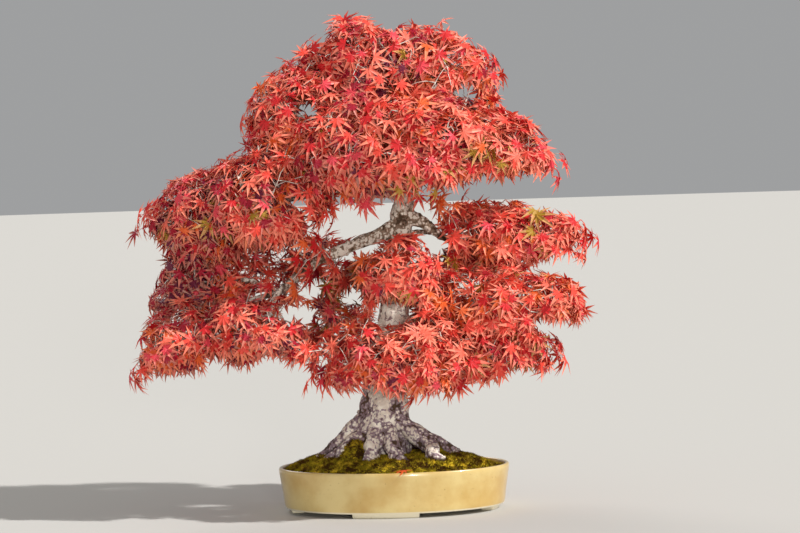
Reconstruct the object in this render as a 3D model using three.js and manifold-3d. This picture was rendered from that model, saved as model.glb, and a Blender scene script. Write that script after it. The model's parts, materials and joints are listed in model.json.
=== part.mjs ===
// A Japanese maple bonsai in autumn leaf, planted in a low oval glazed pot.
//
// Millimetres, +Z up. The pot's long side lies along X and its feet stand on z = 0.
// The tree has a frame of its own: x to the right and y to the back of its show side, with its zero at the
// pot's middle, turned by TREE_TURN about it. The whole is moved at the end so that its origin is the
// middle of its bounding box, at the level of the feet.
//
// Trunk, boughs and foliage are separate solids that meet with a gap of CLEAR. Each mass of foliage fills
// a space of its own, an ellipsoid, with twigs that branch by a seeded rule from one stem.

import * as THREE from "three";
import { mergeVertices } from "three/addons/utils/BufferGeometryUtils.js";
import Module from "manifold-3d";

const wasm = await Module();
wasm.setup();

// Sizes and fits
const POT_LENGTH = 350;
const POT_DEPTH = 256;
const POT_HEIGHT = 68;
const POT_SEGMENTS = 36;
const POT_FLOOR = 16;
const DRAIN = { radius: 12, offset: 72, sides: 16 };
const SOIL_EDGE = 63;
const GROUND = 84; // the level that the trunk stands on
const PLATEAU = 128; // the level part's half length
const CLEAR = 0.3;
const TREE_TURN = THREE.MathUtils.degToRad(7);

// Feet: a ring under the bowl, of which four parts are kept
const FOOT = { height: 7, outer: 158, inner: 140, bite: 2, splay: 3, frontWidth: 100, endWidth: 66 };

// The bowl's profile on its long side: how far in from the pot's end, and the height
const BOWL_PROFILE = [
  [10, FOOT.height],
  [8.4, FOOT.height + 2.4],
  [5.4, FOOT.height + 22],
  [1.8, POT_HEIGHT - 16],
  [0, POT_HEIGHT - 4],
  [1, POT_HEIGHT - 0.8],
  [3, POT_HEIGHT],
  [5.6, POT_HEIGHT - 0.8],
  [6.6, POT_HEIGHT - 4],
  [8.5, POT_HEIGHT - 20],
  [14, POT_FLOOR + 6],
  [22, POT_FLOOR],
];

// The ground's profile: how far in from the bowl's end where they would touch, and the height
const GROUND_PROFILE = [
  [22.4, POT_FLOOR + CLEAR],
  [14.6, POT_FLOOR + 6.4],
  [9, POT_HEIGHT - 20],
  [7.6, SOIL_EDGE - 3],
  [10, SOIL_EDGE],
  [22, SOIL_EDGE + 10],
  [34, GROUND - 3.5],
];

// Trunk: where its middle is at each height, and its radius there
const TRUNK = [
  { x: -14, y: 0, z: GROUND - 12, radius: 49 },
  { x: -13, y: 1, z: 122, radius: 42 },
  { x: -12, y: 2, z: 160, radius: 37 },
  { x: -7, y: 4, z: 192, radius: 29 },
  { x: 2, y: 6, z: 240, radius: 24 },
  { x: 8, y: 8, z: 302, radius: 21 },
  { x: 16, y: 6, z: 370, radius: 18.5 },
  { x: 24, y: 0, z: 436, radius: 16.5 },
  { x: 29, y: -4, z: 480, radius: 13.5 },
  { x: 28, y: -6, z: 535, radius: 10.5 },
  { x: 14, y: -8, z: 590, radius: 7.5 },
  { x: -6, y: -10, z: 632, radius: 5 },
];
const TRUNK_SIDES = 12;
const TRUNK_STEPS = 18;

// Surface roots: bearing in degrees from the tree's right hand towards its back, how far each reaches from
// the trunk's middle, how high it leaves the trunk above the ground, and its thickness
const ROOTS = [
  { bearing: 181, reach: 103, rise: 64, radius: 12 },
  { bearing: 205, reach: 96, rise: 44, radius: 11 },
  { bearing: 254, reach: 74, rise: 50, radius: 14 },
  { bearing: 284, reach: 88, rise: 54, radius: 13 },
  { bearing: 323, reach: 120, rise: 60, radius: 13 },
  { bearing: 9, reach: 118, rise: 48, radius: 12.5 },
  { bearing: 44, reach: 100, rise: 34, radius: 9 },
  { bearing: 88, reach: 78, rise: 52, radius: 13 },
  { bearing: 136, reach: 88, rise: 48, radius: 12 },
];
const ROOT_SIDES = 7;
const ROOT_SWING = 9; // how far a root strays to its sides, in degrees
// A root's way: shares of its reach, of its rise and of its radius that make up its height, and of its radius
const ROOT_WAY = [
  { reach: 0.12, rise: 1, lift: 0, radius: 1.25 },
  { reach: 0.42, rise: 0.6, lift: 0, radius: 1.1 },
  { reach: 0.7, rise: 0.18, lift: 0.3, radius: 0.9 },
  { reach: 0.88, rise: 0, lift: 0.1, radius: 0.66 },
  { reach: 1, rise: 0, lift: -0.22, radius: 0.36 },
];
const ROOT_STEPS = ROOT_WAY.length;

// Masses of foliage: middle of each one's space, and its reach in x, y and z
const MASSES = {
  apex_left: { at: [-32, -15, 679], reach: [92, 92, 68] },
  apex_right: { at: [99, 5, 650], reach: [90, 92, 73] },
  shoulder_left: { at: [-129, -25, 601], reach: [77, 88, 67] },
  band_front: { at: [-22, -130, 536], reach: [113, 92, 75] },
  band_right: { at: [172, -25, 534], reach: [100, 92, 49] },
  band_right_front: { at: [80, -125, 549], reach: [78, 82, 65] },
  upper_back_left: { at: [-101, 125, 578], reach: [112, 95, 80] },
  upper_back_right: { at: [82, 130, 561], reach: [120, 95, 79] },
  left_upper_outer: { at: [-289, -5, 451], reach: [81, 88, 60] },
  left_upper_inner: { at: [-180, -85, 468], reach: [90, 85, 74] },
  left_upper_back: { at: [-216, 110, 450], reach: [93, 88, 71] },
  left_mid: { at: [-299, 50, 359], reach: [66, 85, 50] },
  left_lower_outer: { at: [-324, -25, 262], reach: [85, 88, 57] },
  left_lower_inner: { at: [-197, -80, 281], reach: [83, 85, 64] },
  left_lower_back: { at: [-187, 100, 290], reach: [93, 88, 65] },
  front_mid: { at: [16, -112, 358], reach: [76, 68, 56] },
  front_low: { at: [-2, -140, 232], reach: [108, 85, 62] },
  back_mid: { at: [-60, 135, 352], reach: [76, 84, 60] },
  back_low: { at: [-8, 160, 250], reach: [103, 85, 62] },
  right_mid: { at: [191, -5, 409], reach: [121, 88, 47] },
  right_low: { at: [195, -85, 308], reach: [114, 85, 50] },
  right_bottom: { at: [134, -55, 235], reach: [122, 90, 47] },
  right_back: { at: [150, 140, 390], reach: [95, 85, 58] },
  right_bottom_back: { at: [140, 110, 253], reach: [108, 80, 55] },
};

// Boughs, each named after the mass it carries: what it grows from and how far along, its radius there, how
// much of its length it rises by on its way, and points that it passes where the tree shows them.
// The mass at the top sits on the trunk's own tip.
const TIP_RADIUS = 2.6; // every bough's radius at its tip
const BOUGHS = {
  left_lower_outer: {
    from: "trunk",
    share: 0.63,
    radius: 11,
    via: [[-44, -4, 404], [-88, -6, 386], [-128, -4, 366], [-160, -4, 336], [-205, -8, 324]],
  },
  left_lower_inner: { from: "left_lower_outer", share: 0.56, radius: 5.5, rise: 0.12 },
  left_lower_back: { from: "left_lower_outer", share: 0.44, radius: 5.5, rise: 0.1 },
  left_mid: { from: "left_lower_outer", share: 0.7, radius: 4.5, rise: 0.1 },
  left_upper_outer: { from: "trunk", share: 0.72, radius: 8, rise: 0.06 },
  left_upper_inner: { from: "left_upper_outer", share: 0.4, radius: 5, rise: 0.02 },
  left_upper_back: { from: "left_upper_outer", share: 0.45, radius: 5, rise: 0.02 },
  right_mid: { from: "trunk", share: 0.655, radius: 10.5, via: [[62, -4, 428], [86, -6, 409]] },
  right_back: { from: "trunk", share: 0.6, radius: 6.5, rise: 0.1 },
  right_low: { from: "trunk", share: 0.54, radius: 7, rise: 0.1 },
  right_bottom: { from: "trunk", share: 0.43, radius: 7.5, rise: 0.14 },
  right_bottom_back: { from: "trunk", share: 0.46, radius: 6.5, rise: 0.14 },
  front_mid: { from: "trunk", share: 0.58, radius: 5.5, rise: 0.12 },
  front_low: { from: "trunk", share: 0.4, radius: 7, rise: 0.14 },
  back_mid: { from: "trunk", share: 0.56, radius: 6, rise: 0.1 },
  back_low: { from: "trunk", share: 0.42, radius: 7, rise: 0.14 },
  band_right: { from: "trunk", share: 0.76, radius: 6.5, rise: 0.08 },
  band_front: { from: "trunk", share: 0.78, radius: 5.5, rise: 0.1 },
  upper_back_right: { from: "trunk", share: 0.8, radius: 5.5, rise: 0.1 },
  shoulder_left: { from: "trunk", share: 0.83, radius: 5.5, rise: 0.05 },
  band_right_front: { from: "trunk", share: 0.85, radius: 4.5, rise: 0.05 },
  upper_back_left: { from: "trunk", share: 0.87, radius: 4.8, rise: 0.05 },
  apex_right: { from: "trunk", share: 0.9, radius: 4.6, rise: 0.02 },
};
const BOUGH_SIDES = 5;
const BOUGH_STEP = 44; // the length of one step along a bough
const BOUGH_BENDS = [0, 0.3, 0.65, 1]; // where a bough bends that passes no given points
const BOUGH_WANDER = 0.06; // how far it strays there, as a share of its length
const BOUGH_THINNING = 0.8; // the power by which it thins towards its tip
const BOUGH_ENTERS = 0.6; // a bough ends here, as a share of the reach of its mass
const BOUGH_RUN = 0.9; // but no nearer to its last given point than this leaves over

// Twigs and leaves
const STEM = { foot: TIP_RADIUS, tip: 2.2, steps: 4, bend: 0.4, past: 0.35 }; // radii, and how it bends
const STEM_JOINTS = 12; // how many places along a stem can each carry a twig
const TWIG_SIDES = 3;
const TWIG_STEP = 80; // the length of one step along a twig
const TWIG_JOINTS = [0.2, 0.4, 0.6]; // where on a twig a finer one can grow from
const TWIG_THINNING = 0.48; // a twig's radius at its foot, as a share of what it grows from
const TWIG_TIP_RADIUS = 0.5;
const BEARING_RADIUS = 0.75; // a twig thinner than this carries no finer one
const TWIG_ARCH = { least: 0.04, most: 0.12 }; // how high it arches, as a share of its length
// How far out in its space a twig tries to end, in turn
const TWIG_ENDS = [0.84, 0.76, 0.68, 0.6, 0.52, 0.44, 0.36];
const SURFACE_PER_TWIG = 6000; // mm2 of a space's surface for each twig
const LEAF_REACH = { least: 43, most: 51 };
const ROOMY = 66; // in a space whose least reach is under this, leaves are smaller in proportion
const LEAF_THICKNESS = 2;
const LEAF_DROOP = 0.005; // how far a lobe falls, per mm squared of its length
const LEAF_TURN = 0.3; // how squarely a leaf stands on its twig at least
const LEAF_POSE = { hang: 0.6, lookUp: 0.6, lookAlong: 0.6, sway: 0.4 }; // how a leaf hangs and looks
// Half of a leaf's outline, ending at its base edge: degrees from its midrib, and the share of its reach
const LEAF_HALF = [[0, 1], [23, 0.42], [47, 0.96], [74, 0.4], [112, 0.78]];
const SPACE_EDGE = 1.08; // how far out in its space a leaf may reach
const SPACE_SHARED = 0.2; // how much nearer to another mass's middle than to its own a leaf may reach
const SLIVER = 0.05; // edges this short, left where solids cross, are closed up

const SEEDS = { roots: 11, boughs: 7, foliage: 101 };

const COLOURS = {
  bark: { color: 0xc9beb0, roughness: 0.85 },
  leaf: { color: 0xd8403a, roughness: 0.6 },
  glaze: { color: 0xe2c68f, roughness: 0.22 },
  moss: { color: 0x7a7a2c, roughness: 0.95 },
};

/** A repeatable stream of numbers from 0 to 1. */
class SeededDraw {
  constructor(seed) {
    this.state = seed >>> 0;
  }
  next() {
    this.state = (Math.imul(this.state, 1664525) + 1013904223) >>> 0;
    return this.state / 2 ** 32;
  }
  between(low, high) {
    return low + (high - low) * this.next();
  }
}

const vector = (x, y, z) => new THREE.Vector3(x, y, z);
const UP = vector(0, 0, 1);

/** A closed three.js geometry as a solid, without the triangles that have shrunk to a line or a point. */
function solidOf(geometry) {
  const bare = geometry.clone();
  bare.deleteAttribute("normal");
  bare.deleteAttribute("uv");
  const merged = mergeVertices(bare, 1e-4);
  const corners = [];
  for (let k = 0; k < merged.index.count; k += 3) {
    const [a, b, c] = merged.index.array.subarray(k, k + 3);
    if (a !== b && b !== c && c !== a) corners.push(a, b, c);
  }
  return new wasm.Manifold(
    new wasm.Mesh({
      numProp: 3,
      vertProperties: merged.attributes.position.array,
      triVerts: new Uint32Array(corners),
    }),
  );
}

/** A solid as a three.js geometry. */
function geometryOf(solid) {
  const mesh = solid.getMesh();
  const geometry = new THREE.BufferGeometry();
  geometry.setAttribute("position", new THREE.BufferAttribute(mesh.vertProperties, 3));
  geometry.setIndex(new THREE.BufferAttribute(mesh.triVerts, 1));
  return geometry.toNonIndexed();
}

/** The largest piece of a solid. */
function largestPiece(solid) {
  return solid.decompose().reduce((a, b) => (b.volume() > a.volume() ? b : a));
}

/** A limb along a smooth line through stations, each with a place and a radius, cut into straight steps. */
class Limb {
  constructor(stations, sides, steps) {
    this.places = new THREE.CatmullRomCurve3(stations.map((s) => vector(s.x, s.y, s.z)));
    this.radii = new THREE.CatmullRomCurve3(stations.map((s) => vector(s.radius, 0, 0)));
    this.sides = sides;
    this.steps = steps;
  }
  /** The station at one end of a step. */
  station(step) {
    const share = step / this.steps;
    return { ...this.places.getPoint(share), radius: this.radii.getPoint(share).x };
  }
  /** A station anywhere along the straight steps, for another limb to start from. */
  joint(share) {
    const step = Math.min(Math.floor(share * this.steps), this.steps - 1);
    const [a, b] = [this.station(step), this.station(step + 1)];
    const part = share * this.steps - step;
    const radius = THREE.MathUtils.lerp(a.radius, b.radius, part);
    return { ...vector(a.x, a.y, a.z).lerp(b, part), radius };
  }
  headingAt(share) {
    return this.places.getTangent(share);
  }
  /** Two directions square to the line and to each other at every step, turning as little as they can. */
  frames() {
    let across = Math.abs(this.headingAt(0).x) < 0.8 ? vector(1, 0, 0) : vector(0, 1, 0);
    return Array.from({ length: this.steps + 1 }, (_, step) => {
      const heading = this.headingAt(step / this.steps);
      across = across.clone().addScaledVector(heading, -across.dot(heading)).normalize();
      return { heading, across, over: heading.clone().cross(across) };
    });
  }
  /** The closed solid round the line, grown by grow all over. */
  solid(grow = 0) {
    const tube = new THREE.CylinderGeometry(1, 1, 1, this.sides, this.steps);
    const position = tube.attributes.position;
    const frames = this.frames();
    for (let v = 0; v < position.count; v++) {
      const step = Math.round((position.getY(v) + 0.5) * this.steps);
      const { x, y, z, radius } = this.station(step);
      const { heading, across, over } = frames[step];
      const overshoot = step === 0 ? -grow : step === this.steps ? grow : 0;
      const place = vector(x, y, z)
        .addScaledVector(over, position.getX(v) * (radius + grow))
        .addScaledVector(across, position.getZ(v) * (radius + grow))
        .addScaledVector(heading, overshoot);
      position.setXYZ(v, place.x, place.y, place.z);
    }
    return solidOf(tube);
  }
}

/** A solid of revolution from a profile of [radius, height], drawn out into the pot's oval. */
function ovalTurned(profile) {
  const lathe = new THREE.LatheGeometry(profile.map(([r, h]) => new THREE.Vector2(r, h)), POT_SEGMENTS);
  lathe.rotateX(Math.PI / 2);
  lathe.scale(1, POT_DEPTH / POT_LENGTH, 1);
  return solidOf(lathe);
}

/** A box round the origin. */
function box(width, depth, height) {
  return solidOf(new THREE.BoxGeometry(width, depth, height));
}

/** The pot: an oval bowl with a soft lip, standing on four feet, with two drain holes. */
function makePot() {
  const wall = BOWL_PROFILE.map(([inwards, height]) => [POT_LENGTH / 2 - inwards, height]);
  const bowl = ovalTurned([[0, FOOT.height], ...wall, [0, POT_FLOOR]]);
  const ring = ovalTurned([
    [FOOT.inner, 0],
    [FOOT.outer, 0],
    [FOOT.outer + FOOT.splay, FOOT.height + FOOT.bite],
    [FOOT.inner - FOOT.splay, FOOT.height + FOOT.bite],
    [FOOT.inner, 0],
  ]);
  const kept = box(FOOT.frontWidth, POT_DEPTH, POT_HEIGHT).add(box(POT_LENGTH, FOOT.endWidth, POT_HEIGHT));
  const drains = [-1, 1].map((side) =>
    solidOf(
      new THREE.CylinderGeometry(DRAIN.radius, DRAIN.radius, 2 * POT_FLOOR, DRAIN.sides)
        .rotateX(Math.PI / 2)
        .translate(side * DRAIN.offset, 0, POT_FLOOR),
    ),
  );
  return bowl.add(ring.intersect(kept)).subtract(wasm.Manifold.union(drains));
}

/** Soil and moss: it fills the pot and rises to a level top, on which the tree's foot is cut flat. */
function makeGround() {
  const half = POT_LENGTH / 2 - CLEAR * (POT_LENGTH / POT_DEPTH);
  const slope = GROUND_PROFILE.map(([inwards, height]) => [half - inwards, height]);
  return ovalTurned([
    [0, POT_FLOOR + CLEAR],
    ...slope,
    [PLATEAU, GROUND - CLEAR],
    [0, GROUND - CLEAR],
  ]);
}

/** A surface root, from inside the trunk to a tip that dips under the ground. */
function makeRoot(root, draw) {
  const [middle] = TRUNK;
  const stations = ROOT_WAY.map((way) => {
    const bearing = THREE.MathUtils.degToRad(root.bearing + draw.between(-ROOT_SWING, ROOT_SWING));
    return {
      x: middle.x + way.reach * root.reach * Math.cos(bearing),
      y: middle.y + way.reach * root.reach * Math.sin(bearing),
      z: GROUND + way.rise * root.rise + way.lift * root.radius,
      radius: way.radius * root.radius,
    };
  });
  return new Limb(stations, ROOT_SIDES, ROOT_STEPS);
}

/** The trunk's solid with its roots' flare, cut flat at the ground and grown by grow. */
function flaredTrunk(stem, grow = 0) {
  const draw = new SeededDraw(SEEDS.roots);
  const roots = ROOTS.map((root) => makeRoot(root, draw).solid(grow));
  return wasm.Manifold.union([stem.solid(grow), ...roots]).trimByPlane([0, 0, 1], GROUND - grow);
}

/** How far out in a mass's space a point lies: 0 at its middle, 1 at its edge. */
function outness(mass, point) {
  return Math.hypot(...point.toArray().map((value, k) => (value - mass.at[k]) / mass.reach[k]));
}

/** Whether a point lies in a mass's space, and hardly nearer to the middle of any other. */
function isInside(mass, point) {
  const own = outness(mass, point);
  return (
    own <= SPACE_EDGE &&
    Object.values(MASSES).every((other) => other === mass || outness(other, point) > own - SPACE_SHARED)
  );
}

/** A bough: it leaves its parent's middle and ends inside the space of its mass. */
function makeBough(name, parent, draw) {
  const bough = BOUGHS[name];
  const { x, y, z } = parent.joint(bough.share);
  const start = vector(x, y, z);
  const middle = vector(...MASSES[name].at);
  const passed = (bough.via ?? []).map((place) => vector(...place));
  const last = passed.at(-1) ?? start;
  const end = middle.clone().lerp(last, Math.min(BOUGH_RUN, BOUGH_ENTERS / outness(MASSES[name], last)));
  const length = start.distanceTo(end);
  const bend = (share) => {
    const arch = length * Math.sin(Math.PI * share);
    const wander = BOUGH_WANDER * arch;
    const aside = vector(draw.between(-wander, wander), draw.between(-wander, wander), bough.rise * arch);
    return start.clone().lerp(end, share).add(aside);
  };
  const places = passed.length ? [start, ...passed, end] : BOUGH_BENDS.map(bend);
  const stations = places.map((place, k) => {
    const share = (k / (places.length - 1)) ** BOUGH_THINNING;
    return { ...place, radius: THREE.MathUtils.lerp(bough.radius, TIP_RADIUS, share) };
  });
  return new Limb(stations, BOUGH_SIDES, Math.max(3, Math.round(length / BOUGH_STEP)));
}

/** Points spread evenly over a unit sphere, the first one at the pole. */
function spread(count, pole) {
  const turn = new THREE.Quaternion().setFromUnitVectors(UP, pole);
  const golden = Math.PI * (3 - Math.sqrt(5));
  return Array.from({ length: count }, (_, k) => {
    const height = 1 - (2 * k) / Math.max(1, count - 0.5);
    const ring = Math.sqrt(Math.max(0, 1 - height * height));
    return vector(ring * Math.cos(golden * k), ring * Math.sin(golden * k), height).applyQuaternion(turn);
  });
}

const LEAF_OUTLINE = [...LEAF_HALF, ...LEAF_HALF.slice(1).reverse().map(([angle, share]) => [-angle, share])];

/** A maple leaf of pointed lobes that spread from the tip of its twig, thickest there. */
class Leaf {
  /** @param out the way its middle lobe points, @param face the way its upper side looks */
  constructor(twig, out, face, reach) {
    this.twig = twig;
    this.face = face.clone().normalize();
    this.out = out.clone().addScaledVector(this.face, -out.dot(this.face)).normalize();
    this.side = this.face.clone().cross(this.out);
    this.reach = reach;
    this.middle = twig.places.getPoint(1).addScaledVector(this.face, LEAF_THICKNESS / 2);
  }
  /** Whether the twig comes up to the leaf's underside. */
  isOnTop() {
    return this.twig.headingAt(1).dot(this.face) > LEAF_TURN;
  }
  rim(index) {
    const [angle, share] = LEAF_OUTLINE[index % LEAF_OUTLINE.length];
    const turn = THREE.MathUtils.degToRad(angle);
    const length = share * this.reach;
    return this.middle
      .clone()
      .addScaledVector(this.out, length * Math.cos(turn))
      .addScaledVector(this.side, length * Math.sin(turn))
      .addScaledVector(this.face, -LEAF_DROOP * length * length);
  }
  pole(way) {
    return this.middle.clone().addScaledVector(this.face, (way * LEAF_THICKNESS) / 2);
  }
  /** Its tips and hollows, where it is tested against its space. */
  corners() {
    return LEAF_OUTLINE.map((_, index) => this.rim(index));
  }
  /** The leaf alone. */
  blade() {
    const count = LEAF_OUTLINE.length;
    const shape = new THREE.SphereGeometry(1, count, 2);
    const { position, uv } = shape.attributes;
    for (let v = 0; v < position.count; v++) {
      const way = Math.round(position.getY(v));
      const place = way ? this.pole(way) : this.rim(Math.round(uv.getX(v) * count));
      position.setXYZ(v, place.x, place.y, place.z);
    }
    return solidOf(shape);
  }
  /** A corner of the twig's section at a step counted back from the leaf, under one of the leaf's lobes. */
  twigCorner(back, index) {
    const step = this.twig.steps - back;
    const { x, y, z, radius } = this.twig.station(step);
    const heading = this.twig.headingAt(step / this.twig.steps);
    const across = this.out.clone().addScaledVector(heading, -this.out.dot(heading)).normalize();
    const corner = Math.floor((index % LEAF_OUTLINE.length) / (LEAF_OUTLINE.length / TWIG_SIDES));
    const turn = (2 * Math.PI * (corner + 0.5)) / TWIG_SIDES;
    return vector(x, y, z)
      .addScaledVector(across, radius * Math.cos(turn))
      .addScaledVector(heading.clone().cross(across), radius * Math.sin(turn));
  }
  /** The leaf and its twig as one solid: a sphere's rings drawn out to the rim, then down the twig. */
  withTwig() {
    const count = LEAF_OUTLINE.length;
    const rings = this.twig.steps + 3;
    const shape = new THREE.SphereGeometry(1, count, rings);
    const { position, uv } = shape.attributes;
    for (let v = 0; v < position.count; v++) {
      const ring = Math.round((1 - uv.getY(v)) * rings);
      const index = Math.round(uv.getX(v) * count);
      let place = this.twig.places.getPoint(0);
      if (ring === 0) place = this.pole(1);
      else if (ring === 1) place = this.rim(index);
      else if (ring < rings) place = this.twigCorner(ring - 2, index);
      position.setXYZ(v, place.x, place.y, place.z);
    }
    return solidOf(shape);
  }
}

/** One mass of foliage: a stem from its bough's tip, and twigs that branch from it, each with a leaf. */
class Foliage {
  constructor(name, limb, obstacles) {
    this.mass = MASSES[name];
    this.obstacles = [...obstacles];
    this.draw = new SeededDraw(SEEDS.foliage + Object.keys(MASSES).indexOf(name));
    this.middle = vector(...this.mass.at);
    this.leafScale = Math.min(1, Math.min(...this.mass.reach) / ROOMY);
    this.stem = this.makeStem(limb);
    const shares = Array.from({ length: STEM_JOINTS }, (_, k) => (k + 1.5) / (STEM_JOINTS + 1));
    this.joints = shares.map((share) => this.stem.joint(share));
    this.parts = [this.stem.solid()];
  }

  /** The stem: it carries on from the bough's tip, past the middle of the space. */
  makeStem(limb) {
    const heading = limb.headingAt(1);
    const foot = limb.places.getPoint(1).addScaledVector(heading, CLEAR);
    const bend = foot.clone().addScaledVector(heading, foot.distanceTo(this.middle) * STEM.bend);
    const far = this.middle.clone().lerp(foot, -STEM.past);
    const places = [foot, bend, this.middle, far];
    const stations = places.map((place, k) => {
      const radius = THREE.MathUtils.lerp(STEM.foot, STEM.tip, k / (places.length - 1));
      return { ...place, radius };
    });
    return new Limb(stations, TWIG_SIDES, STEM.steps);
  }

  /** Whether a solid is clear of every limb, of the masses made before and of this one's leaves so far. */
  isClear(solid) {
    return this.obstacles.every((other) => solid.minGap(other, 1) > CLEAR);
  }

  /** A number of between -size and size for each direction of the ground. */
  sway(size) {
    return vector(this.draw.between(-size, size), this.draw.between(-size, size), 0);
  }

  /** A leaf at the end of a twig, hanging outwards and looking out and up. */
  makeLeaf(twig, outward) {
    const { hang, lookUp, lookAlong, sway } = LEAF_POSE;
    const heading = outward.clone().addScaledVector(UP, -hang).add(this.sway(sway));
    const face = outward.clone().setZ(Math.max(0, outward.z)).addScaledVector(UP, lookUp);
    face.add(this.sway(sway)).addScaledVector(twig.headingAt(1), lookAlong);
    const reach = this.leafScale * this.draw.between(LEAF_REACH.least, LEAF_REACH.most);
    return new Leaf(twig, heading, face, reach);
  }

  /** Whether a leaf and its twig keep to the space and touch nothing but what they grow from. */
  fits(leaf) {
    return (
      leaf.isOnTop() &&
      leaf.corners().every((corner) => isInside(this.mass, corner)) &&
      this.isClear(leaf.blade()) &&
      this.isClear(leaf.twig.solid())
    );
  }

  /** A twig, arched upwards, from a joint to its tip. */
  makeTwig(foot, tip) {
    const length = tip.distanceTo(foot);
    const radius = Math.max(TWIG_TIP_RADIUS, foot.radius * TWIG_THINNING);
    const arch = length * this.draw.between(TWIG_ARCH.least, TWIG_ARCH.most);
    const bend = tip.clone().lerp(foot, 0.5).addScaledVector(UP, arch);
    const stations = [
      { ...foot, radius },
      { ...bend, radius: (radius + TWIG_TIP_RADIUS) / 2 },
      { ...tip, radius: TWIG_TIP_RADIUS },
    ];
    return new Limb(stations, TWIG_SIDES, Math.ceil(length / TWIG_STEP));
  }

  /** Grows a twig with its leaf towards one direction, as far out as they fit. */
  growTowards(direction) {
    const reach = vector(...this.mass.reach);
    const outward = direction.clone().divide(reach).normalize();
    for (const end of TWIG_ENDS) {
      const tip = this.middle.clone().add(direction.clone().multiply(reach).multiplyScalar(end));
      const foot = this.joints.reduce((a, b) => (tip.distanceTo(b) < tip.distanceTo(a) ? b : a));
      const twig = this.makeTwig(foot, tip);
      const leaf = this.makeLeaf(twig, outward);
      if (!this.fits(leaf)) continue;
      this.parts.push(leaf.withTwig());
      this.obstacles.push(leaf.blade());
      const joints = TWIG_JOINTS.map((share) => twig.joint(share));
      this.joints = this.joints.filter((joint) => joint !== foot);
      this.joints.push(...joints.filter((joint) => joint.radius >= BEARING_RADIUS));
      return;
    }
  }

  /** The whole mass as one solid. */
  solid() {
    const outbound = this.middle.clone().sub(this.stem.joint(0)).normalize();
    const [a, b, c] = this.mass.reach;
    const surface = (4 * Math.PI * (a * b + a * c + b * c)) / 3;
    for (const direction of spread(Math.round(surface / SURFACE_PER_TWIG), outbound)) {
      this.growTowards(direction);
    }
    return largestPiece(wasm.Manifold.union(this.parts)).simplify(SLIVER);
  }
}

/** Adds a solid to a group as a named piece with a finish of its own. */
function addPiece(group, name, solid, finish) {
  const material = new THREE.MeshStandardMaterial({ ...COLOURS[finish], metalness: 0 });
  const piece = new THREE.Mesh(geometryOf(solid), material);
  piece.name = name;
  group.add(piece);
}

/** The tree: trunk, boughs and masses of foliage, each clear of the others. */
function makeTree() {
  const tree = new THREE.Group();
  const limbs = { trunk: new Limb(TRUNK, TRUNK_SIDES, TRUNK_STEPS) };
  const trunk = flaredTrunk(limbs.trunk);
  const grown = [flaredTrunk(limbs.trunk, CLEAR)];
  const obstacles = [trunk];
  addPiece(tree, "trunk", trunk, "bark");
  const draw = new SeededDraw(SEEDS.boughs);
  for (const name of Object.keys(BOUGHS)) {
    const limb = makeBough(name, limbs[BOUGHS[name].from], draw);
    const bough = largestPiece(limb.solid().subtract(wasm.Manifold.union(grown)));
    limbs[name] = limb;
    grown.push(limb.solid(CLEAR));
    obstacles.push(bough);
    addPiece(tree, `bough_${name}`, bough, "bark");
  }
  for (const name of Object.keys(MASSES)) {
    const foliage = new Foliage(name, limbs[name] ?? limbs.trunk, obstacles).solid();
    obstacles.push(foliage);
    addPiece(tree, `foliage_${name}`, foliage, "leaf");
  }
  tree.rotation.z = TREE_TURN;
  return tree;
}

const bonsai = new THREE.Group();
addPiece(bonsai, "pot", makePot(), "glaze");
addPiece(bonsai, "ground", makeGround(), "moss");
bonsai.add(makeTree());

bonsai.updateMatrixWorld(true);
const middle = new THREE.Box3().setFromObject(bonsai, true).getCenter(new THREE.Vector3());
bonsai.position.set(-middle.x, -middle.y, 0);

export default bonsai;
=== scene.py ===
"""Dresses the solid model of a Japanese maple bonsai in autumn leaf.

The pieces are bark with its relief, twigs, leaves, moss and a glazed pot, with a floor, light and camera.
Lengths are millimetres in the tree's own frame: x to the right and y to the back of its show side, z up,
with zero at the pot's middle on the table. TreeFrame turns them into the metres of the model.
"""

import json
import logging
import math
from contextlib import contextmanager
from dataclasses import dataclass, field
from enum import Enum
from typing import Callable, Iterator, Sequence

import bmesh
import bpy
import numpy as np
from mathutils import Euler, Matrix, Vector, kdtree, noise

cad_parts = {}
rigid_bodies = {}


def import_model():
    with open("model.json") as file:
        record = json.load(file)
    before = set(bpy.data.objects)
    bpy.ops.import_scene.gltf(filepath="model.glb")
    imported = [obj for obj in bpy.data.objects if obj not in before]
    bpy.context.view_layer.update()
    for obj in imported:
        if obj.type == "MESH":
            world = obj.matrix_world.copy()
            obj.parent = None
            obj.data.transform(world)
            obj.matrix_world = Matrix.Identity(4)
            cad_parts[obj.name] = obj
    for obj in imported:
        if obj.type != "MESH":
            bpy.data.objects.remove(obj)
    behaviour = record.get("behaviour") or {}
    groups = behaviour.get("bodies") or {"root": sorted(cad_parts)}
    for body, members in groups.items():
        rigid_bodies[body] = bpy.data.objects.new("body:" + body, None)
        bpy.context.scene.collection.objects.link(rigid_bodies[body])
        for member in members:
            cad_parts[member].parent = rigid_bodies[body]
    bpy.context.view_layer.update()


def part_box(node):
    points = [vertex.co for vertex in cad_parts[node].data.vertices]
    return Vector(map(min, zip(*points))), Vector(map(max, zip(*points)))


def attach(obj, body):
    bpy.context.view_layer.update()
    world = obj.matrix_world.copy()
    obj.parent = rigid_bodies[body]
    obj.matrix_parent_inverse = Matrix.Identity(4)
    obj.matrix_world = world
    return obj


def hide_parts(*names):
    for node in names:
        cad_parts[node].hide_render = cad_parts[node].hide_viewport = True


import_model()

LOG = logging.getLogger("bonsai")
MM = 0.001
TINY = 1e-9
UP = np.array([0.0, 0.0, 1.0])
BODY = "root"
# Marks the faces at the leaves' lobe tips, which take a paler finish as a painted highlight
MARK = "paler"

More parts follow.
